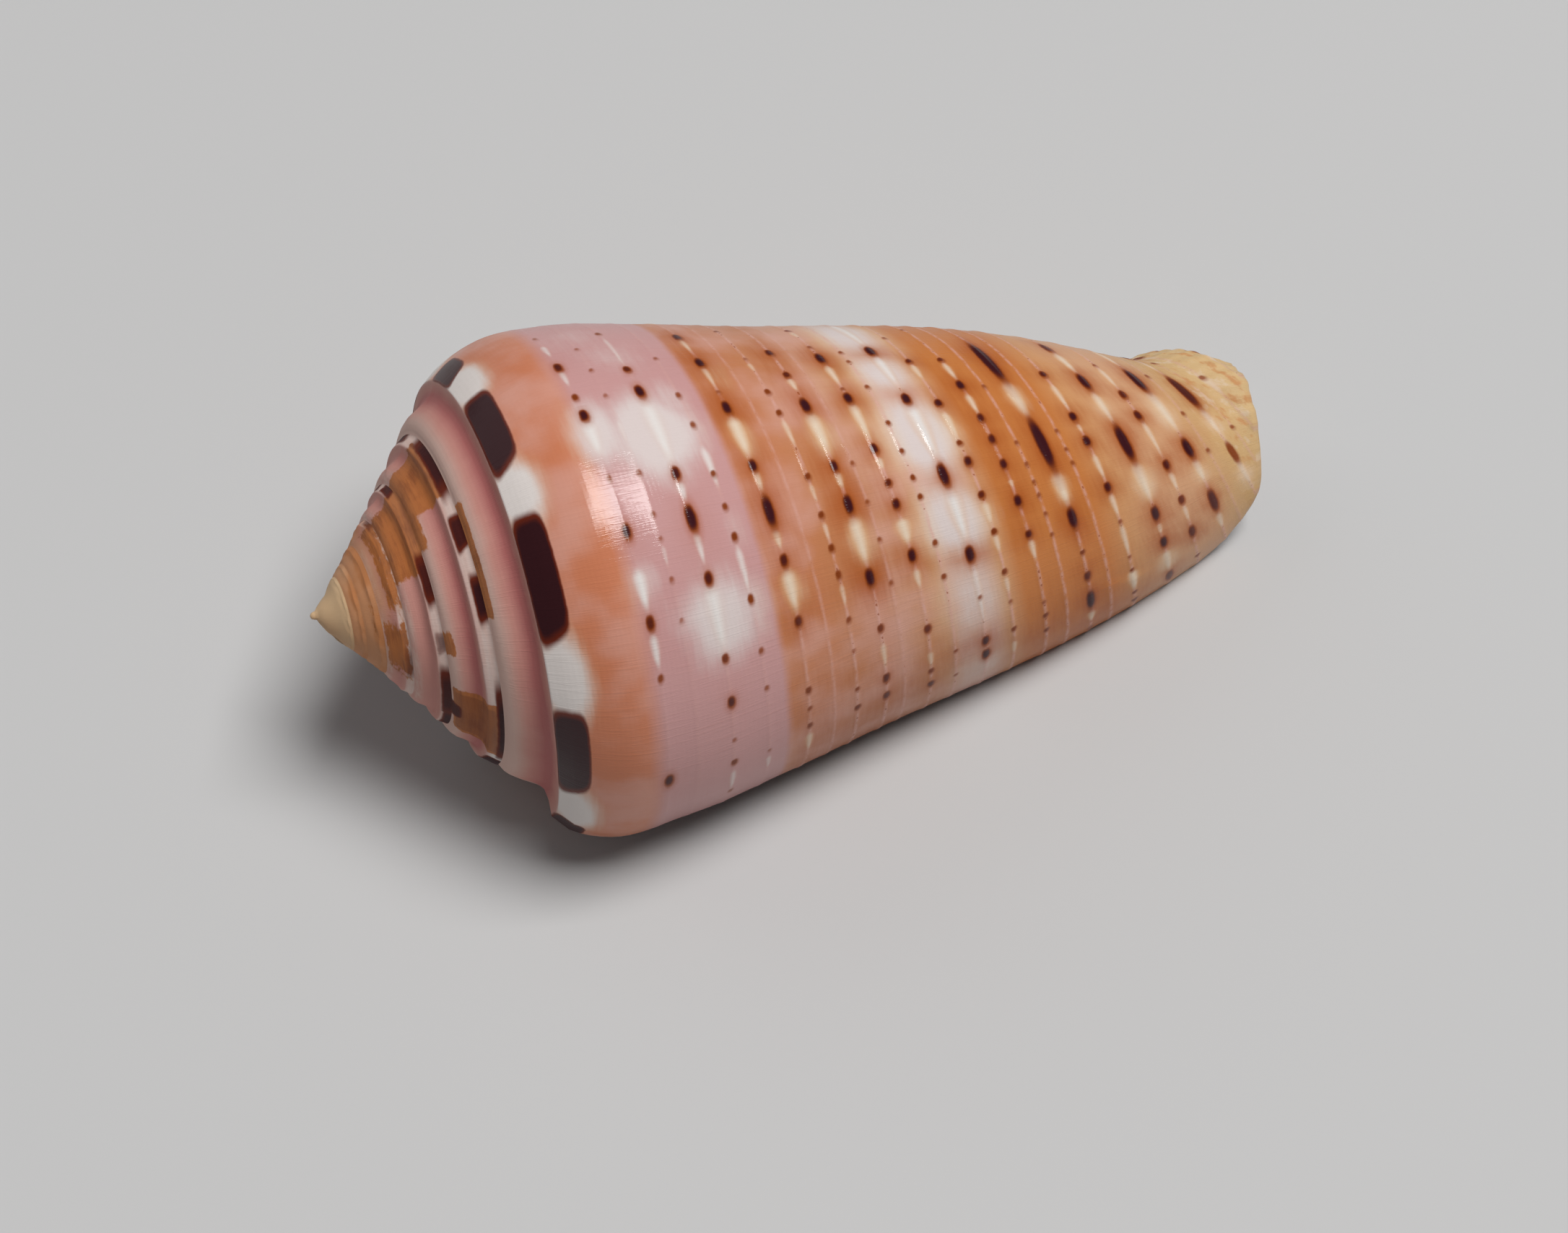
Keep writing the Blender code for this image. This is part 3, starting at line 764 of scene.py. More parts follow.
def fillApex(points):
    # The first whorls are fuller than the spiral's even growth, and lean to the lip's side
    radius = np.hypot(points[:, 1], points[:, 2])
    near = np.exp(-(radius / shellForm["apexReach"]) ** 2)
    near = near * easeStep((radius - shellForm["apexCore"]) / shellForm["apexCoreFade"])
    near = near * (points[:, 0] < shellForm["apexDepth"])
    fuller = 1 + shellForm["apexFullness"] * near / np.maximum(radius, 0.1)
    azimuth = math.radians(shellForm["lipAzimuth"])
    y = points[:, 1] * fuller - shellForm["apexShift"] * near * math.sin(azimuth)
    z = points[:, 2] * fuller + shellForm["apexShift"] * near * math.cos(azimuth)
    return np.stack([points[:, 0], y, z], -1)


def layShell(points):
    # Pitch the axis down at its anterior end, move the apex to its place, and wear the lowest spots flat
    points = fillApex(points)
    pitch = math.radians(shellForm["axisPitch"])
    x = points[:, 0] * math.cos(pitch) + points[:, 2] * math.sin(pitch)
    z = -points[:, 0] * math.sin(pitch) + points[:, 2] * math.cos(pitch)
    laid = np.stack([x, points[:, 1], z], -1) + np.array(shellForm["apexPlace"])
    laid[:, 2] = np.maximum(laid[:, 2], 0.0)
    return laid * mm


def drawFarSide():
    # Marks, dashes, blotches and clouds for the side that the photograph doesn't show
    dark, pale, extraBlotches, extraClouds = [], [], [], []
    for place, _, marks, _ in sideRows:
        if not marks:
            continue
        strong = np.mean([tone for _, _, tone in marks])
        isLong = place in farSide["longRows"] or place > farSide["longFrom"]
        at = farSide["to"] - rng.uniform(2, 10)
        while at > farSide["from"]:
            tone = float(np.clip(strong + rng.normal(0, farSide["toneSpread"]), 0.15, 1.0))
            length = (0.6 + 1.9 * tone * rng.uniform(0.5, 1.2)) * (farSide["longTimes"] if isLong else 1.0)
            dark.append((place, at, length, tone))
            reach = rng.uniform(*farSide["dashDegrees"]) * (0.5 + tone)
            if tone > 0.5:
                start = at + length + 1
                pale.append((place, start, start + reach * 0.6, 0.3 + 0.6 * tone))
            at -= length + rng.uniform(*farSide["gapDegrees"]) * (0.6 + 0.6 * tone)
    at = farSide["blotchFrom"]
    while at > farSide["from"] + 20:
        length = rng.uniform(*farSide["blotchDegrees"])
        gap = rng.uniform(*farSide["blotchGapDegrees"])
        extraClouds.append((at - gap / 2, 12.9, gap / 2 + 1.5, 1.3, 1.3))
        extraBlotches.append((at - gap - length, at - gap, 11.95, 13.95, 1.0))
        at -= gap + length
    for first, tone in farSide["oldBlotches"]:
        at = first
        while at > first - farSide["oldBlotchTurn"]:
            length = rng.uniform(10, 30)
            extraBlotches.append((at - length, at, 12.3 + rng.uniform(-0.1, 0.15), 13.4, tone))
            at -= length + rng.uniform(9, 16)
    for place, width, strength, spacing in farSide["cloudRows"]:
        for centre in np.arange(farSide["to"] - spacing / 2, farSide["from"], -spacing):
            extraClouds.append((centre + rng.uniform(-6, 6), place + rng.uniform(-0.4, 0.4),
                                rng.uniform(7, 12), width, strength * rng.uniform(0.6, 1.0)))
    return dark, pale, extraBlotches, extraClouds


def radiusAt(round_, place):
    # The mean radius at a mark, which turns its degrees into mm
    size = growthAt(round_ - 180.0)
    onSide = outsideRadius(round_ - 180.0, size * place)
    return np.where(place > 12.0, onSide, size * rampProfile(place)[1])


def markTable():
    # One row for each mark: round, place, half length mm, half width mm, darkness
    dark, pale, extraBlotches, extraClouds = drawFarSide()
    for place, _, marks, dashes in sideRows:
        dark += [(place, at, length, tone) for at, length, tone in marks]
        pale += [(place, start, stop, strength) for start, stop, strength in dashes]
    dark, pale = np.array(dark), np.array(pale)
    scale = np.radians(radiusAt(dark[:, 1], dark[:, 0]))
    width = (markSize["darkHalfWidth"] + markSize["darkByTone"] * dark[:, 3]
             + markSize["darkByLength"] * np.sqrt(dark[:, 2]))
    darkRows = np.stack([dark[:, 1], dark[:, 0], np.maximum(dark[:, 2] * scale, markSize["leastHalfLength"]),
                         width, dark[:, 3]], -1)
    middle = (pale[:, 1] + pale[:, 2]) / 2
    scale = np.radians(radiusAt(middle, pale[:, 0]))
    width = markSize["paleHalfWidth"] + markSize["paleByStrength"] * pale[:, 3] ** 2
    paleRows = np.stack([middle, pale[:, 0], (pale[:, 2] - pale[:, 1]) / 2 * scale, width, pale[:, 3]], -1)
    spots = np.array(blotches + extraBlotches)
    middle, place = (spots[:, 0] + spots[:, 1]) / 2, (spots[:, 2] + spots[:, 3]) / 2
    scale = np.radians(radiusAt(middle, place))
    size = growthAt(middle - 180.0)
    blotchRows = np.stack([middle, place, (spots[:, 1] - spots[:, 0]) / 2 * scale,
                           (spots[:, 3] - spots[:, 2]) / 2 * size, spots[:, 4]], -1)
    return darkRows, paleRows, blotchRows, clouds + extraClouds


def nearestMark(rows, corner, faceStart, faceCount):
    # For each face the mark whose box is nearest its middle, then each corner's distance from it in mm
    middleRound = np.add.reduceat(corner[:, 0], faceStart) / faceCount
    middlePlace = np.add.reduceat(corner[:, 1], faceStart) / faceCount
    scale = np.radians(radiusAt(rows[:, 0], rows[:, 1]))
    size = growthAt(rows[:, 0] - 180.0)
    pick = np.zeros(len(faceStart), int)
    for first in range(0, len(faceStart), 8000):
        part = slice(first, first + 8000)
        across = np.abs(middleRound[part, None] - rows[None, :, 0]) * scale - rows[:, 2]
        along = np.abs(middlePlace[part, None] - rows[None, :, 1]) * size - rows[:, 3]
        pick[part] = np.argmin(np.maximum(across, along) + 0.01 * np.abs(across + along), axis=1)
    each = np.repeat(pick, faceCount)
    offset = np.stack([(corner[:, 0] - rows[each, 0]) * scale[each],
                       (corner[:, 1] - rows[each, 1]) * size[each], rows[each, 4]], -1)
    shape = np.stack([rows[each, 2], rows[each, 3], 0 * scale[each]], -1)
    return offset, shape


def tintAndShadeFields(corner, cloudRows):
    # Soft fields from 0 to 1: white clouds as round-shouldered ellipses, stains as soft boxes, and a deeper
    # ground colour that is partly the shell's own pigment and partly painted shade towards the lip
    round_, place = corner[:, 0], corner[:, 1]
    cloud = np.zeros(len(corner))
    for at, middle, length, width, strength in cloudRows:
        near = np.abs(round_ - at) < 2.2 * length
        far = ((round_[near] - at) / length) ** 2 + ((place[near] - middle) / width) ** 2
        cloud[near] = np.maximum(cloud[near], strength * np.exp(-far * 0.75))
    stain = np.zeros(len(corner))
    size = growthAt(round_ - 180.0)
    for start, stop, low, high, soft, strength in stains:
        near = (round_ > start - 40) & (round_ < stop + 40)
        degrees = soft / (0.2 * size[near])
        across = np.minimum(round_[near] - start, stop - round_[near]) / degrees
        along = np.minimum(place[near] - low, high - place[near]) / soft
        stain[near] = np.maximum(stain[near], strength * easeStep(0.5 + 0.35 * np.minimum(across, along)))
    return np.stack([cloud, stain, deepAndShadeField(corner)], -1)


def deepAndShadeField(corner):
    # Deeper ground colour towards the lip, which is painted shade on the lower side turned away from the
    # light, and behind and around the strong marks, which is the shell's own pigment
    round_, place = corner[:, 0], corner[:, 1]
    # Painted shade: the ground darkens from round 112 towards the lip, on the lower side away from the light
    deep = 0.55 * easeStep((round_ - 112.0) / 50.0)
    deep = deep * easeStep((place - 27.0) / 2.0) * easeStep((61.0 - place) / 6.0)
    for rowPlace, _, marks, _ in sideRows:
        for at, length, tone in marks:
            if tone < 0.7:
                continue
            near = (np.abs(round_ - at) < 30) & (np.abs(place - rowPlace) < 5)
            reach = ((round_[near] - at) / (length + 6.5)) ** 2 + ((place[near] - rowPlace) / 1.7) ** 2
            deep[near] = np.maximum(deep[near], (tone - 0.15) * np.exp(-0.8 * reach))
    return deep


def ribField(corner):
    # 1 on the crest of a high rib, 0 at 0.2 mm from it
    rib = np.zeros(len(corner))
    for rowPlace, height, _, _ in sideRows:
        near = np.clip(1 - np.abs(corner[:, 1] - rowPlace) / 0.2, 0, 1)
        rib = np.maximum(rib, near * min(height / 0.045, 1.0))
    return np.stack([rib, 0 * rib, 0 * rib], -1)


def buildShellPiece():
    sheets = ShellSurface()
    quads, tris = np.concatenate(sheets.quads), np.concatenate(sheets.tris)
    corner = np.concatenate([np.concatenate(sheets.quadInfo).reshape(-1, 3),
                             np.concatenate(sheets.triInfo).reshape(-1, 3)])
    points = layShell(np.concatenate(sheets.points))
    used, flat = np.unique(np.concatenate([quads.ravel(), tris.ravel()]), return_inverse=True)
    faces = flat[:quads.size].reshape(-1, 4).tolist() + flat[quads.size:].reshape(-1, 3).tolist()
    mesh = bpy.data.meshes.new("cone_shell")
    mesh.from_pydata(points[used].tolist(), [], faces)
    faceCount = np.concatenate([np.full(len(quads), 4), np.full(len(tris), 3)])
    faceStart = np.concatenate([[0], np.cumsum(faceCount)[:-1]])
    darkRows, paleRows, blotchRows, cloudRows = markTable()
    fields = {"shellPlace": corner, "shellTintAndShade": tintAndShadeFields(corner, cloudRows), "shellRib": ribField(corner)}
    for name, rows in (("dark", darkRows), ("pale", paleRows), ("blotch", blotchRows)):
        fields[name + "Offset"], fields[name + "Size"] = nearestMark(rows, corner, faceStart, faceCount)
    for name, values in fields.items():
        layer = mesh.attributes.new(name, "FLOAT_VECTOR", "CORNER")
        layer.data.foreach_set("vector", np.ascontiguousarray(values, np.float32).ravel())
    # The spire and the anterior end are satin, the rest is glossy
    middle = np.add.reduceat(corner, faceStart, axis=0) / faceCount[:, None]
    satin = ((middle[:, 1] < 12.0) | (middle[:, 0] < -180.0) | (middle[:, 1] > 65.0)) & (middle[:, 2] < 0.3)
    mesh.polygons.foreach_set("material_index", satin.astype(np.int32))
    print("shell:", len(used), "points,", 2 * len(quads) + len(tris), "triangles,",
          len(darkRows), "dark marks,", len(paleRows), "pale dashes,", len(blotchRows), "blotches")
    form = bmesh.new()
    form.from_mesh(mesh)
    bmesh.ops.recalc_face_normals(form, faces=form.faces[:])
    form.to_mesh(mesh)
    form.free()
    mesh.shade_smooth()
    piece = bpy.data.objects.new("cone_shell", mesh)
    bpy.context.scene.collection.objects.link(piece)
    return piece


# Colours as they look in even light
shellPaint = {
    "salmon": "#d08260",
    "salmonDeep": "#c26b42",
    "lilac": "#cc9a97",
    "cloudWhite": "#e0d2ce",
    "creamWhite": "#e6cfb6",
    "creamGlow": "#dfab74",
    "gapWhite": "#e8e0db",
    "orange": "#c67f57",
    "tan": "#c48056",
    "pinkTan": "#cd9475",
    "apricot": "#cd9066",
    "creamOrange": "#d39e74",
    "blush": "#d6b2a4",
    "deepOrange": "#c87c42",
    # Laid as real pigment around the marks, and also as painted shade towards the lip
    "deeper": "#ab5420",
    "peach": "#d19766",
    "creamPeach": "#d4a078",
    "creamYellow": "#d4aa76",
    "endCream": "#dcba88",
    "ribPink": "#dcaa9e",
    # Darker pink of the ramp's groove: partly the ramp's own colour, partly painted shade in the groove
    "roseWithGrooveShade": "#bb706c",
    "rampPink": "#cf9488",
    "rampWhite": "#d9b5a8",
    "rampEdge": "#cf9f95",
    "earlyPeach": "#cb8f66",
    "apexCream": "#d9b78f",
    "stainOrange": "#b86d33",
    "stainBrown": "#7d3f17",
    "chocolate": "#36161a",
    "redBrown": "#6a2614",
    "markOrange": "#94481a",
    "markBrown": "#6a2812",
    "markMaroon": "#3d141a",
    "liningWhite": "#ebdcd4",
    "liningRose": "#d8b0ac",
}


def paint(name):
    # Hexadecimal display colour to linear
    code = shellPaint[name].lstrip("#")
    values = [int(code[k:k + 2], 16) / 255 for k in (0, 2, 4)]
    linear = [v / 12.92 if v <= 0.04045 else ((v + 0.055) / 1.055) ** 2.4 for v in values]
    return (*linear, 1.0)


class Wire:
    # A number flowing through the material's nodes, so that formulas read as formulas

    def __init__(self, desk, socket):
        self.desk, self.socket = desk, socket

    def math(self, operation, other=None):
        node = self.desk.node("ShaderNodeMath", operation=operation)
        self.desk.feed(node.inputs[0], self)
        if other is not None:
            self.desk.feed(node.inputs[1], other)
        return Wire(self.desk, node.outputs[0])

    def __add__(self, other):
        return self.math("ADD", other)

    def __sub__(self, other):
        return self.math("SUBTRACT", other)

    def __rsub__(self, other):
        return (self * -1) + other

    def __mul__(self, other):
        return self.math("MULTIPLY", other)

    def __truediv__(self, other):
        return self.math("DIVIDE", other)

    def __pow__(self, power):
        return self.math("POWER", power)

    def __abs__(self):
        return self.math("ABSOLUTE")

    __radd__ = __add__
    __rmul__ = __mul__

    def smaller(self, other):
        return self.math("MINIMUM", other)

    def ramped(self, low, high):
        return self.desk.step(self, low, high)


class MaterialDesk:
    # A material with short ways to add nodes

    def __init__(self, name):
        self.material = bpy.data.materials.new(name)
        self.material.use_nodes = True
        self.tree = self.material.node_tree
        self.tree.nodes.clear()

    def node(self, kind, **settings):
        made = self.tree.nodes.new(kind)
        for key, value in settings.items():
            setattr(made, key, value)
        return made

    def feed(self, socket, value):
        if isinstance(value, Wire):
            value = value.socket
        if isinstance(value, bpy.types.NodeSocket):
            self.tree.links.new(value, socket)
        else:
            socket.default_value = value

    def split(self, name):
        # The three numbers of an attribute
        parts = self.node("ShaderNodeSeparateXYZ")
        self.feed(parts.inputs[0], self.node("ShaderNodeAttribute", attribute_name=name).outputs["Vector"])
        return [Wire(self, out) for out in parts.outputs]

    def join(self, x, y, z=0.0):
        made = self.node("ShaderNodeCombineXYZ")
        for socket, value in zip(made.inputs, (x, y, z)):
            self.feed(socket, value)
        return made.outputs[0]

    def step(self, value, low, high):
        made = self.node("ShaderNodeMapRange", interpolation_type="SMOOTHSTEP", clamp=True)
        for name, given in (("Value", value), ("From Min", low), ("From Max", high)):
            self.feed(made.inputs[name], given)
        return Wire(self, made.outputs[0])

    def mix(self, share, one, other):
        made = self.node("ShaderNodeMix", data_type="RGBA", clamp_factor=True)
        self.feed(made.inputs[0], share)
        for slot, colour in ((6, one), (7, other)):
            self.feed(made.inputs[slot], paint(colour) if isinstance(colour, str) else colour)
        return made.outputs[2]

    def bands(self, value, low, high, stops):
        # Colour by place: stops are (place, paint name)
        made = self.node("ShaderNodeValToRGB")
        self.feed(made.inputs[0], (value - low) * (1.0 / (high - low)))
        ramp = made.color_ramp
        while len(ramp.elements) < len(stops):
            ramp.elements.new(0.5)
        for element, (place, name) in zip(ramp.elements, stops):
            element.position = (place - low) / (high - low)
            element.color = paint(name)
        return made.outputs[0]

    def noise(self, vector, scale, detail=2.0, roughness=0.5):
        made = self.node("ShaderNodeTexNoise")
        given = {"Vector": vector, "Scale": scale, "Detail": detail, "Roughness": roughness}
        for name, value in given.items():
            self.feed(made.inputs[name], value)
        return Wire(self, made.outputs["Fac"])


class ShellDesk(MaterialDesk):
    # The shell's fields and noises, and its colour as coat after coat is laid on

    def __init__(self, name):
        super().__init__(name)
        self.round_, self.place, self.lining = self.split("shellPlace")
        # The third field is deeper pigment near the marks together with painted shade towards the lip
        self.cloud, self.stain, self.deep = self.split("shellTintAndShade")
        self.rib, _, _ = self.split("shellRib")
        objectPlace = self.node("ShaderNodeTexCoord").outputs["Object"]
        self.streak = self.drawn(1.3, 0.2, 3.0, 0.6)
        self.fineStreak = self.drawn(4.0, 0.45, 2.0, 0.5)
        self.brush = self.drawn(0.12, 2.6, 2.0, 0.55)
        self.mottle = self.noise(objectPlace, 420.0, 3.0, 0.5)
        self.grain = self.noise(objectPlace, 2600.0, 2.0, 0.5)
        self.fleck = self.noise(objectPlace, 1300.0, 2.0)
        self.shiftX = (self.fleck - 0.5) * 0.22
        self.shiftY = (self.noise(objectPlace, 1500.0, 2.0) - 0.5) * 0.16

    def drawn(self, roundScale, placeScale, detail, roughness):
        # Noise over the unrolled shell, drawn out where a scale is small
        unrolled = self.join(self.round_ * roundScale, self.place * placeScale)
        return self.noise(unrolled, 1.0, detail, roughness)

    def lay(self, share, colour):
        self.colour = self.mix(share, self.colour, colour)

    def mark(self, name, wobble):
        # Offset in mm from the nearest mark's middle, along its row and across; half length, half width, tone
        shiftX, shiftY = self.shiftX, self.shiftY * wobble
        x, y, tone = self.split(name + "Offset")
        length, width, _ = self.split(name + "Size")
        return x + shiftX, y + shiftY, length, width, tone


def roundedEdge(x, y, length, width, power):
    # Distance in mm outside a rounded mark: (|x| / length)^p + (|y| / width)^p, taken back to mm
    reach = ((abs(x) / length) ** power + (abs(y) / width) ** power) ** (1.0 / power)
    return (reach - 1.0) * width


def paintSide(desk):
    # Bands along the axis, in plain and pale versions; deeper behind the marks, and deeper towards the lip as
    # painted shade; white in the clouds
    place, cloud, mottle, brush = desk.place, desk.cloud, desk.mottle, desk.brush
    wavyPlace = place + (mottle - 0.5) * 0.35
    desk.broad = broad = desk.drawn(0.05, 0.16, 2.0, 0.5)
    desk.colour = desk.bands(wavyPlace, 12.0, 72.0, [
        (13.9, "salmon"), (17.6, "salmon"), (18.9, "lilac"), (27.55, "lilac"), (28.05, "orange"),
        (31.2, "orange"), (33.0, "tan"), (35.6, "tan"), (36.8, "pinkTan"), (38.6, "apricot"),
        (40.0, "creamOrange"), (41.2, "blush"), (43.6, "blush"), (44.8, "creamOrange"), (46.4, "deepOrange"),
        (53.2, "deepOrange"), (55.6, "peach"), (58.5, "creamPeach"), (62.0, "creamPeach"),
        (65.5, "creamYellow"), (69.5, "endCream")])
    pale = desk.bands(wavyPlace, 12.0, 72.0, [
        (14.2, "gapWhite"), (15.2, "cloudWhite"), (26.0, "cloudWhite"), (29.0, "creamWhite"),
        (39.5, "creamWhite"), (41.5, "cloudWhite"), (43.5, "cloudWhite"), (46.0, "creamWhite"),
        (66.0, "creamWhite")])
    inPink = place.ramped(17.6, 18.9) * place.ramped(28.05, 27.55)
    desk.inOrange = 1.0 - inPink
    inTan = place.ramped(27.55, 28.05)
    # The deeper colour here is partly pigment near the marks and partly painted shade towards the lip
    deepnessAndShade = (desk.deep + (broad - 0.5) * 0.9 + (brush - 0.5) * 0.35).ramped(0.1, 0.95)
    pinkish = desk.inOrange * (broad + mottle * 0.4).ramped(0.85, 0.5) * place.ramped(46.0, 42.0)
    desk.lay(pinkish * 0.5, "ribPink")
    desk.lay(deepnessAndShade * (0.14 + inTan * 0.58), "deeper")
    desk.lay((desk.streak - 0.55).ramped(0.0, 0.4) * 0.22, "salmonDeep")
    desk.lay(place.ramped(18.6, 16.0) * (broad + mottle * 0.5).ramped(0.55, 1.05) * 0.26, "salmonDeep")
    glow = (cloud + (brush - 0.5) * 0.3).ramped(0.05, 0.6) * desk.inOrange
    desk.lay(glow * 0.35, "creamGlow")
    whiteness = (cloud + (mottle - 0.5) * 0.35 + (brush - 0.5) * 0.22).ramped(0.13, 0.85)
    desk.lay(whiteness * 0.96, pale)


def paintRibs(desk):
    # Pale lines that come and go along the ribs, with small dots
    broken = desk.drawn(0.28, 1.7, 2.0, 0.6).ramped(0.36, 0.58)
    desk.lay(desk.rib * (0.16 + broken * 0.5) * (0.45 + desk.place.ramped(26.0, 32.0) * 0.55), "ribPink")
    dots = desk.drawn(0.8, 1.6, 1.0, 0.5).ramped(0.62, 0.69) * desk.rib.ramped(0.45, 0.8)
    desk.lay(dots * (0.25 + desk.place.ramped(29.0, 31.0) * 0.45), "markOrange")


def paintNeck(desk):
    # Orange and cream patches of the anterior end, drawn out round the shell
    patches = desk.drawn(0.07, 0.75, 3.0, 0.6)
    onNeck = desk.place.ramped(63.5, 69.0)
    desk.lay(onNeck * patches.ramped(0.52, 0.66) * 0.6, "deepOrange")
    desk.lay(onNeck * patches.ramped(0.47, 0.34) * 0.6, "creamWhite")


def paintDashes(desk):
    # Pale dashes after the dark marks, in a cream glow: broad at the start and narrower to the end
    x, y, length, width, tone = desk.mark("pale", 0.5)
    place = desk.place
    along = x / length * 0.5 + 0.5
    taper = width * (0.5 + along.ramped(-0.25, 0.14) * 0.6 - along.ramped(0.2, 1.15) * 0.62)
    ends = along.ramped(-0.2, 0.12) * along.ramped(1.16, 0.66)
    wide = along.ramped(-0.3, 0.3) * along.ramped(1.3, 0.7)
    desk.lay((abs(y) / taper).ramped(2.5, 0.4) * wide * tone * (0.1 + desk.inOrange * 0.36), "creamGlow")
    inCream = place.ramped(26.5, 29.0) * (1.0 - place.ramped(39.5, 41.0) * place.ramped(44.5, 43.5))
    dash = desk.mix(inCream, "gapWhite", "creamWhite")
    desk.lay((abs(y) / taper).ramped(1.6, 0.0) * ends * (tone * 1.15).smaller(1.0), dash)


def paintSpire(desk):
    # Ramps: pale roll at the suture, a darker pink band in the groove that is partly the ramp's own colour
    # and partly painted shade, paler edge; older whorls peach, apex cream
    round_, place, mottle, brush = desk.round_, desk.place, desk.mottle, desk.brush
    side = desk.colour
    # The darker pink band at places 10.5 to 11 is partly painted shade in the ramp's groove
    desk.colour = desk.bands(place + (mottle - 0.5) * 0.6, 7.5, 13.5, [
        (7.6, "rampWhite"), (8.6, "rampWhite"), (9.5, "rampPink"), (10.5, "roseWithGrooveShade"), (11.0, "roseWithGrooveShade"),
        (11.6, "rampPink"), (11.95, "rampEdge"), (12.4, "gapWhite")])
    cooler = (round_ + mottle * 120.0).ramped(-170.0, -330.0)
    desk.lay(cooler * place.ramped(12.3, 11.9) * 0.75, "rampPink")
    older = round_.ramped(-178.0, -250.0)
    desk.lay(older * place.ramped(11.9, 12.3) * (0.45 + brush * 0.6), "rampWhite")
    desk.lay(cooler * place.ramped(9.4, 8.4) * (desk.broad * 0.5 + brush * 0.5).ramped(0.4, 0.6), "rampWhite")
    oldWhorls = (round_ + mottle * 260.0 + place * 12.0).ramped(-620.0, -900.0)
    patches = (mottle + place.ramped(9.5, 11.5) * 0.2).ramped(0.5, 0.75)
    patchy = desk.mix(patches * 0.5, "earlyPeach", "stainOrange")
    desk.lay(oldWhorls, patchy)
    desk.lay((round_ + mottle * 300.0).ramped(-1500.0, -2050.0), "apexCream")
    desk.lay((round_ + mottle * 200.0).ramped(-2030.0, -2230.0) * 0.7, "creamWhite")
    spire, desk.colour = desk.colour, side
    onRamp = place.ramped(12.05, 11.95)
    desk.onSpire = (round_.ramped(-179.0, -181.0) + onRamp).smaller(1.0)
    desk.lay(desk.onSpire, spire)


def paintStains(desk):
    # Orange-brown stains of the spire, with torn edges and darker streaks along the whorl
    mottle, stain = desk.mottle, desk.stain
    rampBrush = desk.drawn(0.06, 2.2, 3.0, 0.6)
    tear = desk.drawn(0.14, 1.3, 4.0, 0.65)
    torn = stain + (mottle - 0.5) * 0.4 + (tear - 0.5) * 1.3 + (desk.fleck - 0.5) * 0.5
    brown = desk.mix((rampBrush + mottle - 0.85).ramped(0.05, 0.5) * 0.7, "stainOrange", "stainBrown")
    brown = desk.mix(stain.ramped(1.05, 1.3) * 0.5, brown, "stainBrown")
    desk.lay(torn.ramped(0.3, 0.6) * stain.ramped(0.02, 0.3) * 0.92, brown)


def paintMarks(desk):
    # Dark marks on the ribs: a soft glow, an orange-brown edge and a dark heart
    x, y, length, width, tone = desk.mark("dark", 0.6)
    x = x + y * 0.2
    halo = roundedEdge(x - 0.1, y - 0.03, length, width, 2.0)
    edge = roundedEdge(x, y, length, width, 2.4)
    strong = tone.ramped(0.4, 0.95)
    desk.lay(halo.ramped(0.5, -0.08) * 0.5 * strong, "deeper")
    desk.lay(halo.ramped(0.17, -0.04) * 0.75 * (tone * 1.3 + 0.1).smaller(1.0), "markOrange")
    desk.lay(edge.ramped(0.08, -0.1) * (tone * 1.6 + 0.3).smaller(1.0), "markOrange")
    desk.lay(edge.ramped(0.04, -0.14) * tone.ramped(0.15, 0.8), "markBrown")
    desk.lay(edge.ramped(0.0, -0.2) * tone.ramped(0.55, 0.9), "markMaroon")


def paintBlotches(desk):
    # Shoulder blotches: square to the suture where they start, slanting where they end
    x, y, length, width, tone = desk.mark("blotch", 0.5)
    edge = roundedEdge(x + y * 0.38 * (1.0 + x / length), y, length, width, 5.0)
    desk.lay(edge.ramped(0.11, -0.03) * tone.ramped(0.0, 0.6), "redBrown")
    desk.lay(edge.ramped(0.0, -0.16) * (tone * 1.05).smaller(1.0), "chocolate")


def paintLining(desk):
    # Glazed lining of the aperture
    glaze = desk.mix(desk.lining.ramped(0.9, 1.0) * 0.7, "liningWhite", "liningRose")
    desk.lay((desk.lining + (desk.mottle - 0.5) * 0.25).ramped(0.15, 0.6), glaze)


# The surface under the colour. Bump strengths are for the shell itself and for its coat
shellGlaze = {
    "bumpStrength": {"Normal": 0.36, "Coat Normal": 0.17},
    "bumpDistance": 0.0001,
    "roughness": 0.42,
    "fixed": {"IOR": 1.45, "Coat IOR": 1.7, "Coat Roughness": 0.09},
}


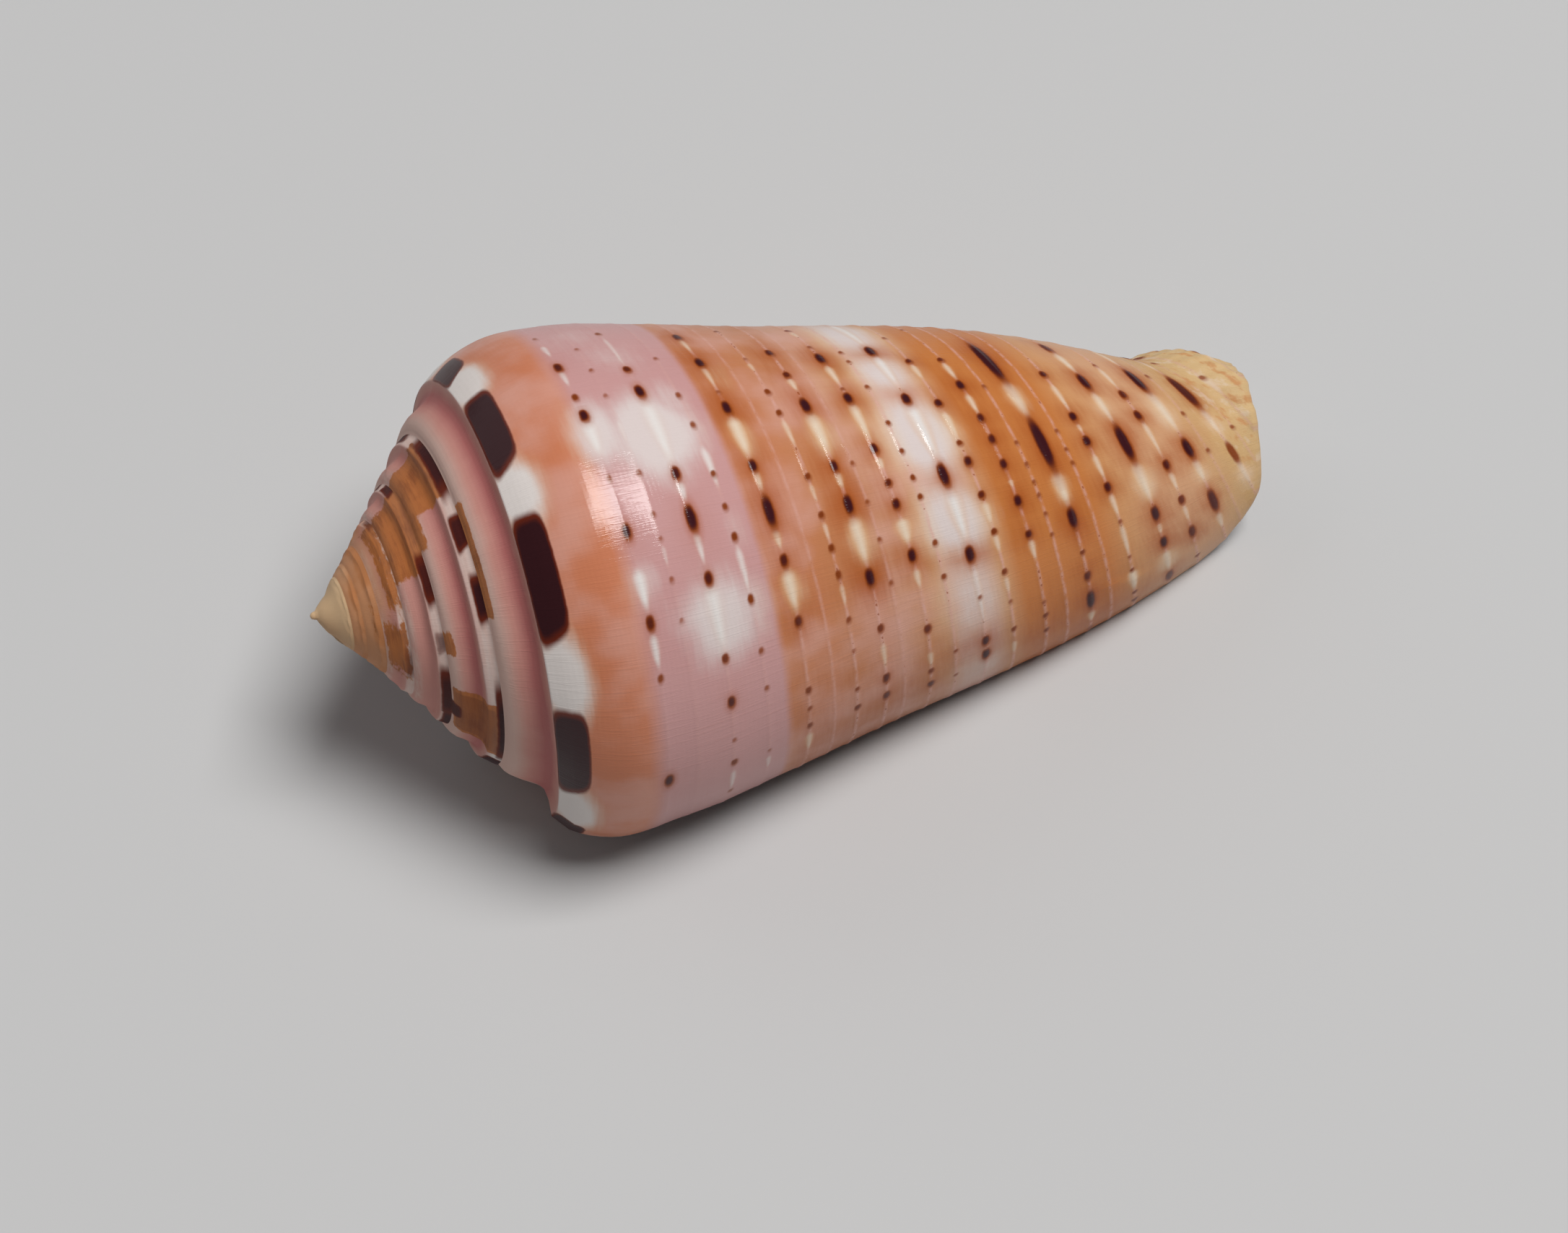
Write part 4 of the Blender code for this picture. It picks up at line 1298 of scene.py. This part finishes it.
def makeShellMaterial(name, coat, gleam):
    desk = ShellDesk(name)
    for layer in (paintSide, paintRibs, paintNeck, paintDashes, paintSpire, paintStains, paintMarks,
                  paintBlotches, paintLining):
        layer(desk)

    # Fine growth lines and spiral threads as bump over the modelled ribs
    streak, mottle = desk.streak, desk.mottle
    threads = (desk.place * 19.0 + (mottle - 0.5) * 3.0).math("SINE")
    cuts = abs(streak - 0.5).ramped(0.08, 0.0)
    rough = 1.0 + desk.place.ramped(61.0, 66.0) * 2.5
    height = ((desk.fineStreak - 0.5) * 0.35 * rough + (streak - 0.5) * 0.75 - cuts * 0.12 + threads * 0.03
              + (desk.grain - 0.5) * 0.1)
    shader = desk.node("ShaderNodeBsdfPrincipled")
    for slot, strength in shellGlaze["bumpStrength"].items():
        bump = desk.node("ShaderNodeBump")
        desk.feed(bump.inputs["Strength"], strength)
        desk.feed(bump.inputs["Distance"], shellGlaze["bumpDistance"])
        desk.feed(bump.inputs["Height"], height)
        desk.feed(shader.inputs[slot], bump.outputs[0])
    desk.feed(shader.inputs["Base Color"], desk.colour)
    roughness = shellGlaze["roughness"] + (mottle - 0.5) * 0.15 + desk.onSpire * 0.2
    desk.feed(shader.inputs["Roughness"], roughness)
    for slot, value in {**shellGlaze["fixed"], "Coat Weight": coat, "Specular IOR Level": gleam}.items():
        shader.inputs[slot].default_value = value
    output = desk.node("ShaderNodeOutputMaterial")
    desk.feed(output.inputs["Surface"], shader.outputs[0])
    return desk.material


# Plain pale floor and soft studio light
studio = {
    "floorSide": 12.0,
    "floorColour": (0.58, 0.575, 0.57, 1.0),
    "floorRoughness": 0.75,
    "worldColour": (0.55, 0.57, 0.60, 1.0),
    "worldStrength": 0.16,
    "windowDirection": (0.345, -0.13, 0.93),   # from the shell towards the softbox, which is the main light
    "windowDistance": 2.4,
    "windowSide": 1.02,
    "windowPower": 52.0,
    "overheadDirection": (-0.45, 0.68, 0.58),
    "overheadDistance": 3.6,
    "overheadSide": 3.0,
    "overheadPower": 14.0,
}

# The photograph's camera, from the shell's place in the picture
camera = {
    "axisTilt": 15.07,               # the shell's axis leans away from the camera at its anterior end
    "axisRise": 12.557,              # and climbs this much across the picture
    "apexDistance": 247.75,          # mm from the camera along its view
    "apexPixel": (437.8, 852.3),
    "middlePixel": (1086.0, 854.0),
    "pictureWidth": 2172.0,
    "focalPixels": 5299.5,
    "sensorWidth": 36.0,
}


def buildStage():
    side = studio["floorSide"] / 2
    mesh = bpy.data.meshes.new("studio_floor")
    corners = [(-side, -side, 0), (side, -side, 0), (side, side, 0), (-side, side, 0)]
    mesh.from_pydata(corners, [], [(0, 1, 2, 3)])
    floor = bpy.data.objects.new("studio_floor", mesh)
    bpy.context.scene.collection.objects.link(floor)
    desk = MaterialDesk("floor_paper")
    shader = desk.node("ShaderNodeBsdfPrincipled")
    shader.inputs["Base Color"].default_value = studio["floorColour"]
    shader.inputs["Roughness"].default_value = studio["floorRoughness"]
    output = desk.node("ShaderNodeOutputMaterial")
    desk.feed(output.inputs["Surface"], shader.outputs[0])
    mesh.materials.append(desk.material)
    world = bpy.data.worlds.new("studio_air")
    world.use_nodes = True
    air = world.node_tree.nodes["Background"]
    air.inputs["Color"].default_value = studio["worldColour"]
    air.inputs["Strength"].default_value = studio["worldStrength"]
    bpy.context.scene.world = world
    for name in ("window", "overhead"):
        lamp = bpy.data.lights.new(name + "_light", "AREA")
        lamp.size = studio[name + "Side"]
        lamp.energy = studio[name + "Power"]
        holder = bpy.data.objects.new(name + "_light", lamp)
        direction = Vector(studio[name + "Direction"]).normalized()
        holder.location = direction * studio[name + "Distance"]
        holder.rotation_euler = direction.to_track_quat("Z", "Y").to_euler()
        bpy.context.scene.collection.objects.link(holder)


def buildCamera():
    # The shell's axis, top and front are known in the picture and in the world, which fixes the camera's turn
    tilt, rise = math.radians(camera["axisTilt"]), math.radians(camera["axisRise"])
    seen = Matrix((
        (math.cos(tilt) * math.cos(rise), -math.cos(tilt) * math.sin(rise), math.sin(tilt)),
        (-math.sin(rise), -math.cos(rise), 0.0),
        (math.sin(tilt) * math.cos(rise), -math.sin(tilt) * math.sin(rise), -math.cos(tilt))))
    pitch = Matrix.Rotation(math.radians(shellForm["axisPitch"]), 3, "Y")
    topTurn, frontTurn = -180.0, -90.0
    top, front = (Vector(axisPoint(np.array([turn]), 0.0, 1.0)[0]) for turn in (topTurn, frontTurn))
    world = Matrix([pitch @ axis for axis in (Vector((1, 0, 0)), top, front)])
    toWorld = world.transposed() @ seen
    right, down, forward = toWorld.col
    u = (camera["apexPixel"][0] - camera["middlePixel"][0]) / camera["focalPixels"]
    v = (camera["apexPixel"][1] - camera["middlePixel"][1]) / camera["focalPixels"]
    apex = Vector(shellForm["apexPlace"])
    place = apex - (right * u + down * v + forward) * camera["apexDistance"]
    lens = bpy.data.cameras.new("photo_camera")
    lens.sensor_width = camera["sensorWidth"]
    lens.lens = camera["focalPixels"] / camera["pictureWidth"] * camera["sensorWidth"]
    lens.clip_start = 0.01
    holder = bpy.data.objects.new("photo_camera", lens)
    turn = Matrix((right, -down, -forward)).transposed().to_4x4()
    holder.matrix_world = Matrix.Translation(place * mm) @ turn
    bpy.context.scene.collection.objects.link(holder)
    bpy.context.scene.camera = holder


buildCamera()
print("camera placed")
shell = buildShellPiece()
for name, coat, gleam in (("shell_gloss", 0.34, 0.03), ("shell_satin", 0.04, 0.14)):
    shell.data.materials.append(makeShellMaterial(name, coat, gleam))
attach(shell, "root")
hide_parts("shell")
print("shell finished")
buildStage()
bpy.context.scene.view_settings.view_transform = "Standard"
print("stage ready")
